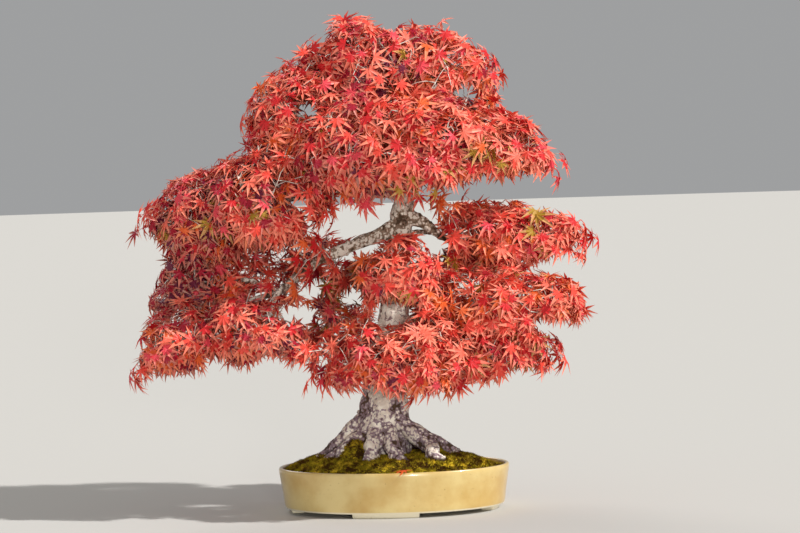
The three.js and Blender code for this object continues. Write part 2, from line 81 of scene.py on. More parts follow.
Array = np.ndarray
Colour = tuple[float, float, float]
Pair = tuple[float, float]
Triple = tuple[float, float, float]
Object = bpy.types.Object
Mesh = bpy.types.Mesh
Socket = bpy.types.NodeSocket


class Slot(Enum):
    """The record's material slots."""

    BARK = "bark"
    LEAF = "leaf"
    GLAZE = "glaze"
    MOSS = "moss"


# Sizes of the solid model, in millimetres

POT_LENGTH = 350
POT_DEPTH = 256
POT_HEIGHT = 68
NARROW = POT_DEPTH / POT_LENGTH
GROUND = 84
PLATEAU = 128
TREE_TURN = math.radians(7)

# Where the trunk's middle is at each height, and its radius there: x, y, z, radius
TRUNK = (
    (-14, 0, GROUND - 12, 49),
    (-13, 1, 122, 42),
    (-12, 2, 160, 37),
    (-7, 4, 192, 29),
    (2, 6, 240, 24),
    (8, 8, 302, 21),
    (16, 6, 370, 18.5),
    (24, 0, 436, 16.5),
    (29, -4, 480, 13.5),
    (28, -6, 535, 10.5),
    (14, -8, 590, 7.5),
    (-6, -10, 632, 5),
)
TRUNK_STEPS = 18


@dataclass(frozen=True)
class Root:
    """A surface root.

    Attributes:
        bearing: degrees from the tree's right hand towards its back.
        reach: how far its tip is from the trunk's middle.
        rise: how high it leaves the trunk above the ground.
        radius: its thickness.
    """

    bearing: float
    reach: float
    rise: float
    radius: float


ROOTS = (
    Root(181, 103, 64, 12),
    Root(205, 96, 44, 11),
    Root(254, 74, 50, 14),
    Root(284, 88, 54, 13),
    Root(323, 120, 60, 13),
    Root(9, 118, 48, 12.5),
    Root(44, 100, 34, 9),
    Root(88, 78, 52, 13),
    Root(136, 88, 48, 12),
)
# A root's stations: share of its reach, height as shares of its rise and its radius, share of its radius
ROOT_STATIONS = (
    (0.12, 1, 0, 1.25),
    (0.42, 0.6, 0, 1.1),
    (0.7, 0.18, 0.3, 0.9),
    (0.88, 0, 0.1, 0.66),
    (1, 0, -0.22, 0.36),
)
ROOT_SWING = 9
ROOT_STEPS = 5


@dataclass(frozen=True)
class Space:
    """The ellipsoid that a mass of foliage keeps to.

    Attributes:
        at: its middle.
        reach: its half size in x, y and z.
    """

    at: Triple
    reach: Triple

    @property
    def middle(self) -> Array:
        """The middle as a vector."""
        return np.array(self.at, float)

    @property
    def half(self) -> Array:
        """The half size as a vector."""
        return np.array(self.reach, float)

    @property
    def surface(self) -> float:
        """Its surface, in square millimetres."""
        a, b, c = self.reach
        return 4 * math.pi * (a * b + a * c + b * c) / 3

    def outness(self, point: Array) -> float:
        """How far out a point lies: 0 at the middle, 1 at the edge."""
        return float(np.linalg.norm((point - self.middle) / self.half))


MASSES = {
    "apex_left": Space((-32, -15, 679), (92, 92, 68)),
    "apex_right": Space((99, 5, 650), (90, 92, 73)),
    "shoulder_left": Space((-129, -25, 601), (77, 88, 67)),
    "band_front": Space((-22, -130, 536), (113, 92, 75)),
    "band_right": Space((172, -25, 534), (100, 92, 49)),
    "band_right_front": Space((80, -125, 549), (78, 82, 65)),
    "upper_back_left": Space((-101, 125, 578), (112, 95, 80)),
    "upper_back_right": Space((82, 130, 561), (120, 95, 79)),
    "left_upper_outer": Space((-289, -5, 451), (81, 88, 60)),
    "left_upper_inner": Space((-180, -85, 468), (90, 85, 74)),
    "left_upper_back": Space((-216, 110, 450), (93, 88, 71)),
    "left_mid": Space((-299, 50, 359), (66, 85, 50)),
    "left_lower_outer": Space((-324, -25, 262), (85, 88, 57)),
    "left_lower_inner": Space((-197, -80, 281), (83, 85, 64)),
    "left_lower_back": Space((-187, 100, 290), (93, 88, 65)),
    "front_mid": Space((16, -112, 358), (76, 68, 56)),
    "front_low": Space((-2, -140, 232), (108, 85, 62)),
    "back_mid": Space((-60, 135, 352), (76, 84, 60)),
    "back_low": Space((-8, 160, 250), (103, 85, 62)),
    "right_mid": Space((191, -5, 409), (121, 88, 47)),
    "right_low": Space((195, -85, 308), (114, 85, 50)),
    "right_bottom": Space((134, -55, 235), (122, 90, 47)),
    "right_back": Space((150, 140, 390), (95, 85, 58)),
    "right_bottom_back": Space((140, 110, 253), (108, 80, 55)),
}


@dataclass(frozen=True)
class Bough:
    """A bough, named after the mass it carries.

    Attributes:
        parent: what it grows from.
        share: how far along its parent it starts.
        radius: its radius where it starts.
        rise: how much of its length it rises by on its way.
        via: points that it passes where the tree shows them.
    """

    parent: str
    share: float
    radius: float
    rise: float = 0.0
    via: tuple[Triple, ...] = ()


LEFT_LIMB_VIA = ((-44, -4, 404), (-88, -6, 386), (-128, -4, 366), (-160, -4, 336), (-205, -8, 324))
RIGHT_LIMB_VIA = ((62, -4, 428), (86, -6, 409))
BOUGHS = {
    "left_lower_outer": Bough("trunk", 0.63, 11, via=LEFT_LIMB_VIA),
    "left_lower_inner": Bough("left_lower_outer", 0.56, 5.5, 0.12),
    "left_lower_back": Bough("left_lower_outer", 0.44, 5.5, 0.1),
    "left_mid": Bough("left_lower_outer", 0.7, 4.5, 0.1),
    "left_upper_outer": Bough("trunk", 0.72, 8, 0.06),
    "left_upper_inner": Bough("left_upper_outer", 0.4, 5, 0.02),
    "left_upper_back": Bough("left_upper_outer", 0.45, 5, 0.02),
    "right_mid": Bough("trunk", 0.655, 10.5, via=RIGHT_LIMB_VIA),
    "right_back": Bough("trunk", 0.6, 6.5, 0.1),
    "right_low": Bough("trunk", 0.54, 7, 0.1),
    "right_bottom": Bough("trunk", 0.43, 7.5, 0.14),
    "right_bottom_back": Bough("trunk", 0.46, 6.5, 0.14),
    "front_mid": Bough("trunk", 0.58, 5.5, 0.12),
    "front_low": Bough("trunk", 0.4, 7, 0.14),
    "back_mid": Bough("trunk", 0.56, 6, 0.1),
    "back_low": Bough("trunk", 0.42, 7, 0.14),
    "band_right": Bough("trunk", 0.76, 6.5, 0.08),
    "band_front": Bough("trunk", 0.78, 5.5, 0.1),
    "upper_back_right": Bough("trunk", 0.8, 5.5, 0.1),
    "shoulder_left": Bough("trunk", 0.83, 5.5, 0.05),
    "band_right_front": Bough("trunk", 0.85, 4.5, 0.05),
    "upper_back_left": Bough("trunk", 0.87, 4.8, 0.05),
    "apex_right": Bough("trunk", 0.9, 4.6, 0.02),
}
BOUGH_TIP_RADIUS = 2.6
BOUGH_TAPER = 0.8
BOUGH_STEP = 44
BOUGH_LEAST_STEPS = 3
BOUGH_WANDER = 0.06
# Where a bough without points of its own bends, as shares of its way
BOUGH_BENDS = (0, 0.3, 0.65, 1)
# How far out in its mass a bough ends, and the most of its last way to the middle that it leaves out
BOUGH_ENTERS = 0.6
BOUGH_STOPS = 0.9
BOUGH_SEED = 7
ROOT_SEED = 11


@dataclass(frozen=True)
class SkyGap:
    """An opening of the crown that shows sky from the front, as an ellipse in the plane of the trunk.

    Attributes:
        x: where its middle is across.
        z: where its middle is in height.
        across: its half width.
        up: its half height.
        ragged: how much its edge moves in and out, as a share of its size.
        grain: the size of the notches that this makes.
    """

    x: float
    z: float
    across: float
    up: float
    ragged: float = 0.75
    grain: float = 13.0

    def holds(self, x: float, z: float) -> bool:
        """Whether a point of the front view lies in it; its edge is ragged."""
        edge = 1 + self.ragged * noise.noise(Vector((x / self.grain, z / self.grain, self.x)))
        return ((x - self.x) / self.across) ** 2 + ((z - self.z) / self.up) ** 2 < edge


SKY_GAPS = tuple(
    SkyGap(*numbers)
    for numbers in (
        (18, 744, 36, 23), (162, 722, 46, 36), (-141, 718, 26, 23), (-90, 730, 20, 22),
        (128, 628, 25, 18), (-112, 607, 19, 16), (263, 560, 28, 35), (-132, 469, 18, 14),
        (-47, 433, 36, 27), (6, 432, 26, 22), (40, 440, 20, 16), (-30, 397, 27, 13),
        (-66, 386, 20, 10), (82, 404, 24, 16), (-112, 338, 26, 14), (-150, 300, 18, 20),
        (-114, 298, 18, 12), (-188, 331, 25, 10), (-54, 324, 24, 17), (4, 299, 38, 24),
        (186, 485, 68, 17), (262, 456, 50, 22), (252, 363, 50, 13), (250, 268, 42, 14),
        (-354, 495, 23, 23), (-353, 410, 20, 24), (-374, 368, 19, 24), (-344, 385, 18, 13),
        (-390, 304, 26, 28), (-393, 258, 22, 25), (-316, 208, 44, 14), (-180, 224, 26, 16),
        (-204, 204, 20, 16), (-158, 196, 16, 13), (-28, 174, 26, 19), (-266, 230, 22, 14),
        (-234, 212, 15, 13), (-360, 196, 16, 14), (194, 194, 34, 18),
    )
)


@dataclass(frozen=True)
class FoliageReach:
    """How far the foliage reaches: the masses' spaces, melted into each other where they meet.

    Attributes:
        melt: how quickly a space's hold fades outwards. A lower number fills the valleys further.
        least: the least that a mass grows out, as a share of its reach.
        most: the furthest that a mass may grow out of its own space, as a share of its reach.
        step: how finely the place of its surface is found, as a share of its reach.
        ragged: how much the crown's surface moves in and out, as a share of a reach.
        grain: the size of the lumps that this makes.
    """

    melt: float = 1.25
    least: float = 0.8
    most: float = 1.36
    step: float = 0.04
    ragged: float = 0.16
    grain: float = 46.0

    def fullness(self, point: Array) -> float:
        """How deep a point lies in the crown: over 1 inside it, 1 at its surface."""
        middles = np.array([space.at for space in MASSES.values()], float)
        halves = np.array([space.reach for space in MASSES.values()], float)
        outs = (((point - middles) / halves) ** 2).sum(axis=1)
        lump = 1 + self.ragged * lumps(point, self.grain)
        return float(np.exp(self.melt * (1 - outs / lump**2)).sum())

    def edge(self, space: Space, direction: Array) -> float:
        """How far a mass grows in a direction.

        Args:
            space: the mass's own space.
            direction: a direction in which the space's surface is 1 away.

        Returns:
            The distance to the crown's surface, as a share of the space's reach.
        """
        shares = np.arange(self.least, self.most, self.step)
        full = direction * space.half
        deep = [share for share in shares if self.fullness(space.middle + full * share) >= 1]
        return float(deep[-1]) if deep else self.least


# Where the twigs of each mass end that hang out of the crown or in front of a limb
HANGING_SPRAYS = {
    "left_lower_outer": (
        (-384, -30, 230), (-376, -20, 218), (-370, -50, 214), (-350, -60, 222), (-288, -60, 244),
        (-378, -50, 236),
    ),
    "left_lower_inner": (
        (-204, -100, 238), (-138, -92, 256), (-156, -88, 260), (-148, -100, 250), (-118, -105, 232),
        (-126, -100, 246),
    ),
    "left_mid": ((-356, 20, 336),),
    "left_upper_outer": (
        (-352, -30, 445), (-350, -10, 470), (-364, -20, 458), (-356, -40, 440), (-262, -30, 512),
        (-268, -10, 522),
    ),
    "left_upper_inner": (
        (-138, -95, 398), (-118, -95, 384), (-96, -95, 398), (-84, -90, 386), (-140, -90, 356),
        (-104, -90, 412), (-84, -110, 456), (-104, -110, 450), (-120, -100, 424), (-132, -100, 440),
    ),
    "left_upper_back": ((-252, 40, 538), (-228, 40, 544), (-240, 30, 534)),
    "shoulder_left": ((-200, -25, 596),),
    "band_front": ((-104, -120, 478), (-40, -110, 480), (-76, -115, 472)),
    "band_right_front": ((62, -90, 486),),
    "band_right": ((256, -40, 508), (232, -50, 508), (198, -60, 504), (262, -40, 530)),
    "right_mid": (
        (292, -30, 430), (280, -40, 428), (296, -20, 404), (288, -30, 388), (262, -50, 384),
        (306, -10, 412), (80, -80, 472), (94, -80, 430), (98, -50, 462), (136, -50, 460), (126, -40, 466),
    ),
    "right_low": ((286, -80, 322), (284, -70, 300)),
    "right_bottom": ((250, -60, 240), (248, -50, 258), (90, -115, 206), (112, -112, 210)),
    "front_low": (
        (-94, -125, 222), (-106, -120, 236), (-88, -135, 214), (-112, -118, 216), (78, -135, 202),
        (52, -135, 208), (26, -130, 198),
    ),
    "back_mid": ((-48, 60, 344),),
}


@dataclass(frozen=True)
class Viewpoint:
    """The photograph's viewpoint, square to the tree's show side.

    Attributes:
        place: the camera in the tree's frame.
        pitch: how far it looks down, in degrees.
        roll: how far the picture leans to the left, in degrees.
        lens: focal length for a sensor 36 mm wide.
    """

    place: Triple = (19, -4300, 530)
    pitch: float = 2.17
    roll: float = 1.8
    lens: float = 128.25

    def seen_at(self, point: Array) -> Pair:
        """Where a point shows in the plane of the trunk.

        Args:
            point: a point in the tree's frame.

        Returns:
            Its place across and its height in the plane y = 0, as this viewpoint sees it.
        """
        eye = np.array(self.place, float)
        ahead = point - eye
        seen = eye + ahead * (-eye[1] / ahead[1])
        return float(seen[0]), float(seen[2])


VIEWPOINT = Viewpoint()


class TreeFrame:
    """Turns millimetres of the tree's frame into metres of the model."""

    def __init__(self) -> None:
        """Takes the pot's middle from the model."""
        low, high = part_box("pot")
        self.origin = np.array([(low.x + high.x) / 2, (low.y + high.y) / 2, 0.0])
        cos, sin = math.cos(TREE_TURN), math.sin(TREE_TURN)
        self.turn = np.array([[cos, -sin, 0.0], [sin, cos, 0.0], [0.0, 0.0, 1.0]])

    def place(self, points: Array) -> Array:
        """Points of the tree's frame in the model's metres."""
        return np.asarray(points, float) @ self.turn.T * MM + self.origin

    def place_pot(self, points: Array) -> Array:
        """Points of the pot's frame, which isn't turned, in the model's metres."""
        return np.asarray(points, float) * MM + self.origin

    def back(self, points: Array) -> Array:
        """Points of the model in millimetres of the tree's frame."""
        return (np.asarray(points, float) - self.origin) / MM @ self.turn


# Numbers and lines


class SeededDraw:
    """The stream of numbers from 0 to 1 that the solid model's limbs are drawn with."""

    FACTOR = 1664525
    SHIFT = 1013904223
    RANGE = 2**32

    def __init__(self, seed: int) -> None:
        """Starts the stream at a seed."""
        self.state = seed

    def between(self, low: float, high: float) -> float:
        """The next number, between two limits."""
        self.state = (self.state * self.FACTOR + self.SHIFT) % self.RANGE
        return low + (high - low) * self.state / self.RANGE


def unit(vector: Array) -> Array:
    """A vector of the same direction, one long."""
    return vector / max(float(np.linalg.norm(vector)), TINY)


def square_to(vector: Array, axis: Array) -> Array:
    """The direction of a vector's part that is square to an axis."""
    return unit(vector - axis * float(vector @ axis))


class SmoothLine:
    """A centripetal Catmull-Rom line through points."""

    LEAST_GAP = 1e-4
    STEP = 1e-4

    def __init__(self, points: Sequence[Sequence[float]]) -> None:
        """Adds the points before and after the line that its ends need."""
        inner = np.array(points, float)
        self.points = np.vstack([2 * inner[0] - inner[1], inner, 2 * inner[-1] - inner[-2]])
        self.gaps = np.sqrt(np.linalg.norm(np.diff(self.points, axis=0), axis=1))
        self.spans = len(inner) - 1

    def at(self, share: float) -> Array:
        """The point at a share of the way along."""
        position = min(max(share, 0.0), 1.0) * self.spans
        span = min(int(position), self.spans - 1)
        part = position - span
        before, start, end, after = self.points[span : span + 4]
        gap_in, gap, gap_out = np.maximum(self.gaps[span : span + 3], self.LEAST_GAP)
        leaving = (start - before) / gap_in - (end - before) / (gap_in + gap) + (end - start) / gap
        arriving = (end - start) / gap - (after - start) / (gap + gap_out) + (after - end) / gap_out
        leaving, arriving = leaving * gap, arriving * gap
        square = -3 * start + 3 * end - 2 * leaving - arriving
        cube = 2 * start - 2 * end + leaving + arriving
        return start + leaving * part + square * part**2 + cube * part**3

    def heading(self, share: float) -> Array:
        """The direction of the line at a share of the way along."""
        before, after = max(share - self.STEP, 0.0), min(share + self.STEP, 1.0)
        return unit(self.at(after) - self.at(before))


@dataclass
class Tube:
    """A line of places with a radius at each, for a mesh round it.

    Attributes:
        places: the line's points.
        radii: the radius at each point.
    """

    places: Array
    radii: Array

    @property
    def headings(self) -> Array:
        """The direction of the line at each point."""
        steps = np.gradient(self.places, axis=0)
        return steps / np.maximum(np.linalg.norm(steps, axis=1, keepdims=True), TINY)


class Limb:
    """A limb along a smooth line through stations of x, y, z and radius."""

    LEAST_RINGS = 4
    FLARE_REACH = 2

    def __init__(self, stations: Sequence[Sequence[float]], steps: int) -> None:
        """Keeps the line and the radii, and the steps that the solid limb is cut into."""
        table = np.array(stations, float)
        self.line = SmoothLine(table[:, :3])
        self.radii = table[:, 3]
        self.steps = steps

    def radius(self, share: float) -> float:
        """The radius at a share of the way along."""
        return float(np.interp(share, np.linspace(0, 1, len(self.radii)), self.radii))

    def joint(self, share: float) -> Array:
        """A place on the solid limb's straight steps, for another limb to start from."""
        step = min(int(share * self.steps), self.steps - 1)
        part = share * self.steps - step
        start, end = self.line.at(step / self.steps), self.line.at((step + 1) / self.steps)
        return start + (end - start) * part

    def tube(self, spacing: float, flare: float = 0.0) -> Tube:
        """The limb as a tube.

        Args:
            spacing: the distance between two of its points.
            flare: how much wider it starts, as a share of its radius.

        Returns:
            The tube.
        """
        length = float(np.linalg.norm(np.diff(self.line.points[1:-1], axis=0), axis=1).sum())
        shares = np.linspace(0, 1, max(self.LEAST_RINGS, round(length / spacing)))
        places = np.array([self.line.at(share) for share in shares])
        radii = np.array([self.radius(share) for share in shares])
        from_start = shares * length
        return Tube(places, radii * (1 + flare * np.exp(-from_start / (self.FLARE_REACH * self.radii[0]))))


def spread(count: int, pole: Array) -> list[Array]:
    """Points spread evenly over a unit sphere, the first one at the pole."""
    turn = Vector(UP).rotation_difference(Vector(pole))
    golden = math.pi * (3 - math.sqrt(5))
    points = []
    for k in range(count):
        height = 1 - 2 * k / max(1, count - 0.5)
        ring = math.sqrt(max(0.0, 1 - height * height))
        point = Vector((ring * math.cos(golden * k), ring * math.sin(golden * k), height))
        points.append(np.array(turn @ point))
    return points


def clamped(value: float) -> float:
    """A value kept from 0 to 1."""
    return min(1.0, max(0.0, value))


def lumps(point: Array, size: float, shift: float = 0.0) -> float:
    """Soft lumps of a size, from -1 to 1, at a point."""
    return noise.noise(Vector(point / size + shift))


def domed(distance: float, radius: float) -> float:
    """The height over a distance from the middle of a dome that is 1 high."""
    return math.sqrt(max(0.0, 1 - (distance / radius) ** 2))


def ring_faces(rings: int, sides: int) -> list[tuple[int, ...]]:
    """The faces between rings of vertices that follow each other, all with the same sides."""
    faces = []
    for ring in range(rings - 1):
        for side in range(sides):
            a, b = ring * sides + side, ring * sides + (side + 1) % sides
            faces.append((a, b, b + sides, a + sides))
    return faces


# Meshes


@dataclass
class Shape:
    """Vertices and faces on their way to a mesh.

    Attributes:
        vertices: the vertices, in blocks.
        faces: the numbers of each face's vertices.
        marked: the numbers of the faces that are marked.
    """

    vertices: list[Array] = field(default_factory=list)
    faces: list[tuple[int, ...]] = field(default_factory=list)
    marked: list[int] = field(default_factory=list)

    STEEP = 0.8

    def add(self, vertices: Array, faces: Sequence[tuple[int, ...]]) -> None:
        """Adds a closed set of vertices and faces."""
        start = sum(len(block) for block in self.vertices)
        self.vertices.append(np.asarray(vertices, float))
        self.faces.extend(tuple(start + k for k in face) for face in faces)

    def add_tube(self, tube: Tube, sides: int, wave: Callable[[float, float], float] | None = None) -> None:
        """Adds a closed tube.

        Args:
            tube: its line and radii.
            sides: how many sides it has.
            wave: gives the share that its radius changes by, at a bearing and a length along it.
        """
        headings = tube.headings
        across = np.array([1.0, 0.0, 0.0] if abs(headings[0][0]) < self.STEEP else [0.0, 1.0, 0.0])
        across = square_to(across, headings[0])
        rings, along = [], 0.0
        for k, (place, radius, heading) in enumerate(zip(tube.places, tube.radii, headings)):
            along += float(np.linalg.norm(place - tube.places[k - 1])) if k else 0.0
            across = square_to(across, heading)
            over = np.cross(heading, across)
            for turn in (2 * math.pi * side / sides for side in range(sides)):
                reach = radius * (1 + (wave(turn, along) if wave else 0.0))
                rings.append(place + reach * (across * math.cos(turn) + over * math.sin(turn)))
        start_cap, end_cap = range(sides), range(len(rings) - sides, len(rings))
        faces = [*ring_faces(len(tube.places), sides), tuple(reversed(start_cap)), tuple(end_cap)]
        self.add(np.array(rings), faces)

    def mesh(self, name: str, place: Callable[[Array], Array]) -> Mesh:
        """Makes the mesh.

        Args:
            name: its name.
            place: turns the vertices into the model's metres.

        Returns:
            The mesh.
        """
        mesh = bpy.data.meshes.new(name)
        mesh.from_pydata(place(np.vstack(self.vertices)).tolist(), [], self.faces)
        mesh.update()
        if self.marked:
            marks = np.zeros(len(self.faces), bool)
            marks[self.marked] = True
            mesh.attributes.new(MARK, "BOOLEAN", "FACE").data.foreach_set("value", marks)
        return mesh


def read_vectors(collection: bpy.types.bpy_prop_collection, name: str) -> Array:
    """A vector of each of a mesh's parts, such as its vertices' places."""
    vectors = np.empty(len(collection) * 3, np.float32)
    collection.foreach_get(name, vectors)
    return vectors.reshape(-1, 3).astype(float)


def vertices_of(mesh: Mesh) -> Array:
    """The places of a mesh's vertices."""
    return read_vectors(mesh.vertices, "co")


def shade_smooth(mesh: Mesh) -> None:
    """Shades all faces of a mesh smoothly."""
    mesh.polygons.foreach_set("use_smooth", [True] * len(mesh.polygons))


@contextmanager
def edited(mesh: Mesh) -> Iterator[bmesh.types.BMesh]:
    """A mesh opened for editing, and written back at the end."""
    body = bmesh.new()
    body.from_mesh(mesh)
    yield body
    body.to_mesh(mesh)
    body.free()


def move_vertices(mesh: Mesh, places: Array) -> None:
    """Moves a mesh's vertices."""
    mesh.vertices.foreach_set("co", places.astype(np.float32).ravel())
    mesh.update()


def keep_number(mesh: Mesh, name: str, values: Array, kind: str = "FLOAT") -> None:
    """Keeps one number, or one vector, for each vertex as an attribute."""
    attribute = mesh.attributes.new(name, kind, "POINT")
    attribute.data.foreach_set("vector" if kind == "FLOAT_VECTOR" else "value", np.asarray(values).ravel())


def add_object(name: str, data: bpy.types.ID) -> Object:
    """Puts a mesh or a camera into the scene as an object at the origin."""
    made = bpy.data.objects.new(name, data)
    bpy.context.scene.collection.objects.link(made)
    return made


def finished(source: Object, name: str) -> Object:
    """An object whose modifiers are applied, in place of the source.

    Args:
        source: the object with live modifiers, which is removed.
        name: the name of the result.

    Returns:
        The object with a plain mesh.
    """
    evaluated = source.evaluated_get(bpy.context.evaluated_depsgraph_get())
    mesh = bpy.data.meshes.new_from_object(evaluated)
    mesh.name = name
    bpy.data.objects.remove(source)
    return add_object(name, mesh)


def triangles(mesh: Mesh) -> int:
    """How many triangles a mesh has."""
    return sum(len(polygon.vertices) - 2 for polygon in mesh.polygons)


def settle(piece: Object, slot: Slot, replaced: Sequence[str] = ()) -> None:
    """Rides a finished piece on the plant's body and logs it.

    Args:
        piece: the finished piece.
        slot: the material slot for its finish. It is not used.
        replaced: the solid model's nodes that it stands for.
    """
    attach(piece, BODY)
    if replaced:
        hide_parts(*replaced)
    LOG.info("%s: %d triangles, in place of %d solids", piece.name, triangles(piece.data), len(replaced))


# Finishes


def linear(code: int) -> Colour:
    """A colour written as 0xRRGGBB, as the shaders' linear numbers."""
    toe, toe_slope, offset, power = 0.04045, 12.92, 0.055, 2.4
    parts = [(code >> shift & 255) / 255 for shift in (16, 8, 0)]
    return tuple(
        part / toe_slope if part <= toe else ((part + offset) / (1 + offset)) ** power for part in parts
    )


class NodeSheet:
    """A material and short ways to add nodes to it."""

    # The colour sockets of a mix, which share their names with those for other kinds of value
    MIX_INPUTS = (6, 7)
    MIX_RESULT = 2

    def __init__(self, name: str) -> None:
        """Makes a material with a Principled shader."""
        self.material = bpy.data.materials.new(name)
        self.material.use_nodes = True
        self.tree = self.material.node_tree
        self.shader = next(node for node in self.tree.nodes if node.type == "BSDF_PRINCIPLED")

    def set(self, **values: float | tuple) -> None:
        """Sets plain values on the shader's sockets, with _ for a space in their names."""
        for name, value in values.items():
            self.shader.inputs[name.replace("_", " ")].default_value = value

    def link(self, start: Socket, end: Socket) -> None:
        """Links two sockets."""
        self.tree.links.new(start, end)

    def feed(self, value: Socket | float | tuple, socket: Socket) -> None:
        """Links a socket to an input, or sets the input's value."""
        if isinstance(value, Socket):
            self.link(value, socket)
        else:
            socket.default_value = value

    def place(self) -> Socket:
        """The object coordinates."""
        source = self.tree.nodes.new("ShaderNodeTexCoord")
        mapping = self.tree.nodes.new("ShaderNodeMapping")
        self.link(source.outputs["Object"], mapping.inputs["Vector"])
        return mapping.outputs["Vector"]

    def noise(self, place: Socket, scale: float, detail: float = 4, rough: float = 0.55) -> Socket:
        """A noise from 0 to 1, scale times a metre fine."""
        node = self.tree.nodes.new("ShaderNodeTexNoise")
        node.inputs["Scale"].default_value = scale
        node.inputs["Detail"].default_value = detail
        node.inputs["Roughness"].default_value = rough
        self.link(place, node.inputs["Vector"])
        return node.outputs["Fac"]

    def clouds(
        self,
        place: Socket,
        scale: float,
        low: float,
        high: float,
        detail: float = 4,
        rough: float = 0.55,
    ) -> Socket:
        """A noise drawn out softly from low..high to 0..1, for one colour to come through another."""
        return self.ramp(self.noise(place, scale, detail, rough), low, high)

    def attribute(self, name: str) -> Socket:
        """A number kept on the mesh."""
        node = self.tree.nodes.new("ShaderNodeAttribute")
        node.attribute_name = name
        return node.outputs["Fac"]

    def cells(self, place: Socket, scale: float) -> Socket:
        """The distance to the middle of the nearest of many cells, scale times a metre fine."""
        node = self.tree.nodes.new("ShaderNodeTexVoronoi")
        node.inputs["Scale"].default_value = scale
        self.link(place, node.inputs["Vector"])
        return node.outputs["Distance"]

    def ramp(self, value: Socket, low: float, high: float) -> Socket:
        """A value drawn out from low..high to 0..1, softly."""
        node = self.tree.nodes.new("ShaderNodeMapRange")
        node.interpolation_type = "SMOOTHSTEP"
        node.inputs["From Min"].default_value = low
        node.inputs["From Max"].default_value = high
        self.link(value, node.inputs["Value"])
        return node.outputs["Result"]

    def mix(self, share: Socket, first: int | Socket, second: int | Socket) -> Socket:
        """A mix of two colours by a share."""
        node = self.tree.nodes.new("ShaderNodeMix")
        node.data_type = "RGBA"
        self.link(share, node.inputs["Factor"])
        for colour, number in zip((first, second), self.MIX_INPUTS):
            value = (*linear(colour), 1) if isinstance(colour, int) else colour
            self.feed(value, node.inputs[number])
        return node.outputs[self.MIX_RESULT]

    def math(self, operation: str, first: Socket, second: Socket | float) -> Socket:
        """A sum or product of two values."""
        node = self.tree.nodes.new("ShaderNodeMath")
        node.operation = operation
        self.link(first, node.inputs[0])
        self.feed(second, node.inputs[1])
        return node.outputs[0]

    def paint(self, colour: Socket) -> None:
        """Makes a mix of colours the surface's own."""
        self.link(colour, self.shader.inputs["Base Color"])

    def bump(self, height: Socket, depth: float, strength: float = 1.0) -> None:
        """Raises the surface by a height, depth metres at most."""
        node = self.tree.nodes.new("ShaderNodeBump")
        node.inputs["Strength"].default_value = strength
        node.inputs["Distance"].default_value = depth
        self.link(height, node.inputs["Height"])
        self.link(node.outputs["Normal"], self.shader.inputs["Normal"])


@dataclass(frozen=True)
class BarkFinish:
    """Pale weathered bark: white on its knobs, mauve between them and dark in its hollows. The white is
    partly painted sunlight, and the mauve, brown and dark are partly painted shade.

    Attributes:
        white: the knobs' brightest colour, partly painted sunlight.
        pale: the knobs' other colour.
        mauve: between the knobs, low on the trunk; partly painted shade.
        brown: between the knobs, higher up; partly painted shade.
        hollow: in the hollows; partly painted shade.
        earth: where the roots meet the ground.
        hollow_and_shade_attribute: keeps how hollow the skin lies, with painted sunlight and shade mixed
            in.
        foot_attribute: keeps how near the skin is to the ground.
        height_attribute: keeps how high up the tree the skin is.
    """

    white: int = 0xFFF6E4
    pale: int = 0xE2D4C2
    mauve: int = 0x9A848A
    brown: int = 0x947C66
    hollow: int = 0x54402F
    earth: int = 0x4A3A1E
    hollow_and_shade_attribute: str = "hollow"
    foot_attribute: str = "foot"
    height_attribute: str = "height"

    def make(self) -> bpy.types.Material:
        """Makes the material."""
        sheet = NodeSheet("bark")
        sheet.set(Roughness=0.8, Specular_IOR_Level=0.3)
        place = sheet.place()
        rough = sheet.attribute(self.hollow_and_shade_attribute)
        # The hollow number, noises and fine cells pick the colours: low numbers give the white of painted
        # sunlight on knobs and specks, high ones painted shade
        fine = sheet.noise(place, scale=300, detail=5, rough=0.7)
        warped = sheet.math("ADD", fine, sheet.noise(place, scale=34, detail=3))
        rough = sheet.math("ADD", rough, sheet.math("MULTIPLY", warped, 0.85))
        rough = sheet.math("ADD", rough, sheet.math("MULTIPLY", sheet.cells(place, scale=215), 0.9))
        shade = sheet.mix(sheet.attribute(self.height_attribute), self.mauve, self.brown)
        knobs = sheet.clouds(place, scale=60, low=0.4, high=0.62, detail=5, rough=0.65)
        colour = sheet.mix(knobs, self.pale, self.white)
        # Mauve or brown between the knobs, then dark in the hollows: partly the bark's own colours, partly
        # painted shade
        colour = sheet.mix(sheet.ramp(rough, low=1.46, high=1.7), colour, shade)
        colour = sheet.mix(sheet.ramp(rough, low=1.8, high=2.24), colour, self.hollow)
        foot = sheet.ramp(sheet.attribute(self.foot_attribute), low=0.0, high=1.0)
        sheet.paint(sheet.mix(foot, colour, self.earth))
        coarse = sheet.noise(place, scale=260, detail=8, rough=0.7)
        grain = sheet.math("MULTIPLY", sheet.noise(place, scale=900), 0.4)
        sheet.bump(sheet.math("ADD", coarse, grain), depth=0.0014, strength=0.9)
        return sheet.material


@dataclass(frozen=True)
class TwigFinish:
    """Pale twigs with greyer stretches.

    Attributes:
        pale: the twigs' colour.
        grey: the greyer stretches' colour.
    """

    pale: int = 0xEAE1D2
    grey: int = 0xA5968A

    def make(self) -> bpy.types.Material:
        """Makes the material."""
        sheet = NodeSheet("twig")
        sheet.set(Roughness=0.75, Specular_IOR_Level=0.3)
        place = sheet.place()
        stretches = sheet.clouds(place, scale=70, low=0.45, high=0.65, detail=3)
        sheet.paint(sheet.mix(stretches, self.pale, self.grey))
        sheet.bump(sheet.noise(place, scale=700), depth=0.0005, strength=0.6)
        return sheet.material


class Tint(Enum):
    """The plain colours of the autumn leaves."""

    CORAL = 0xDC4434
    SALMON = 0xEC6A54
    SCARLET = 0xC82224
    CRIMSON = 0xA2142A
    MAROON = 0x6A1430
    ORANGE = 0xDC5C28
    AMBER = 0xAC842C
    ROSE = 0xDA404A


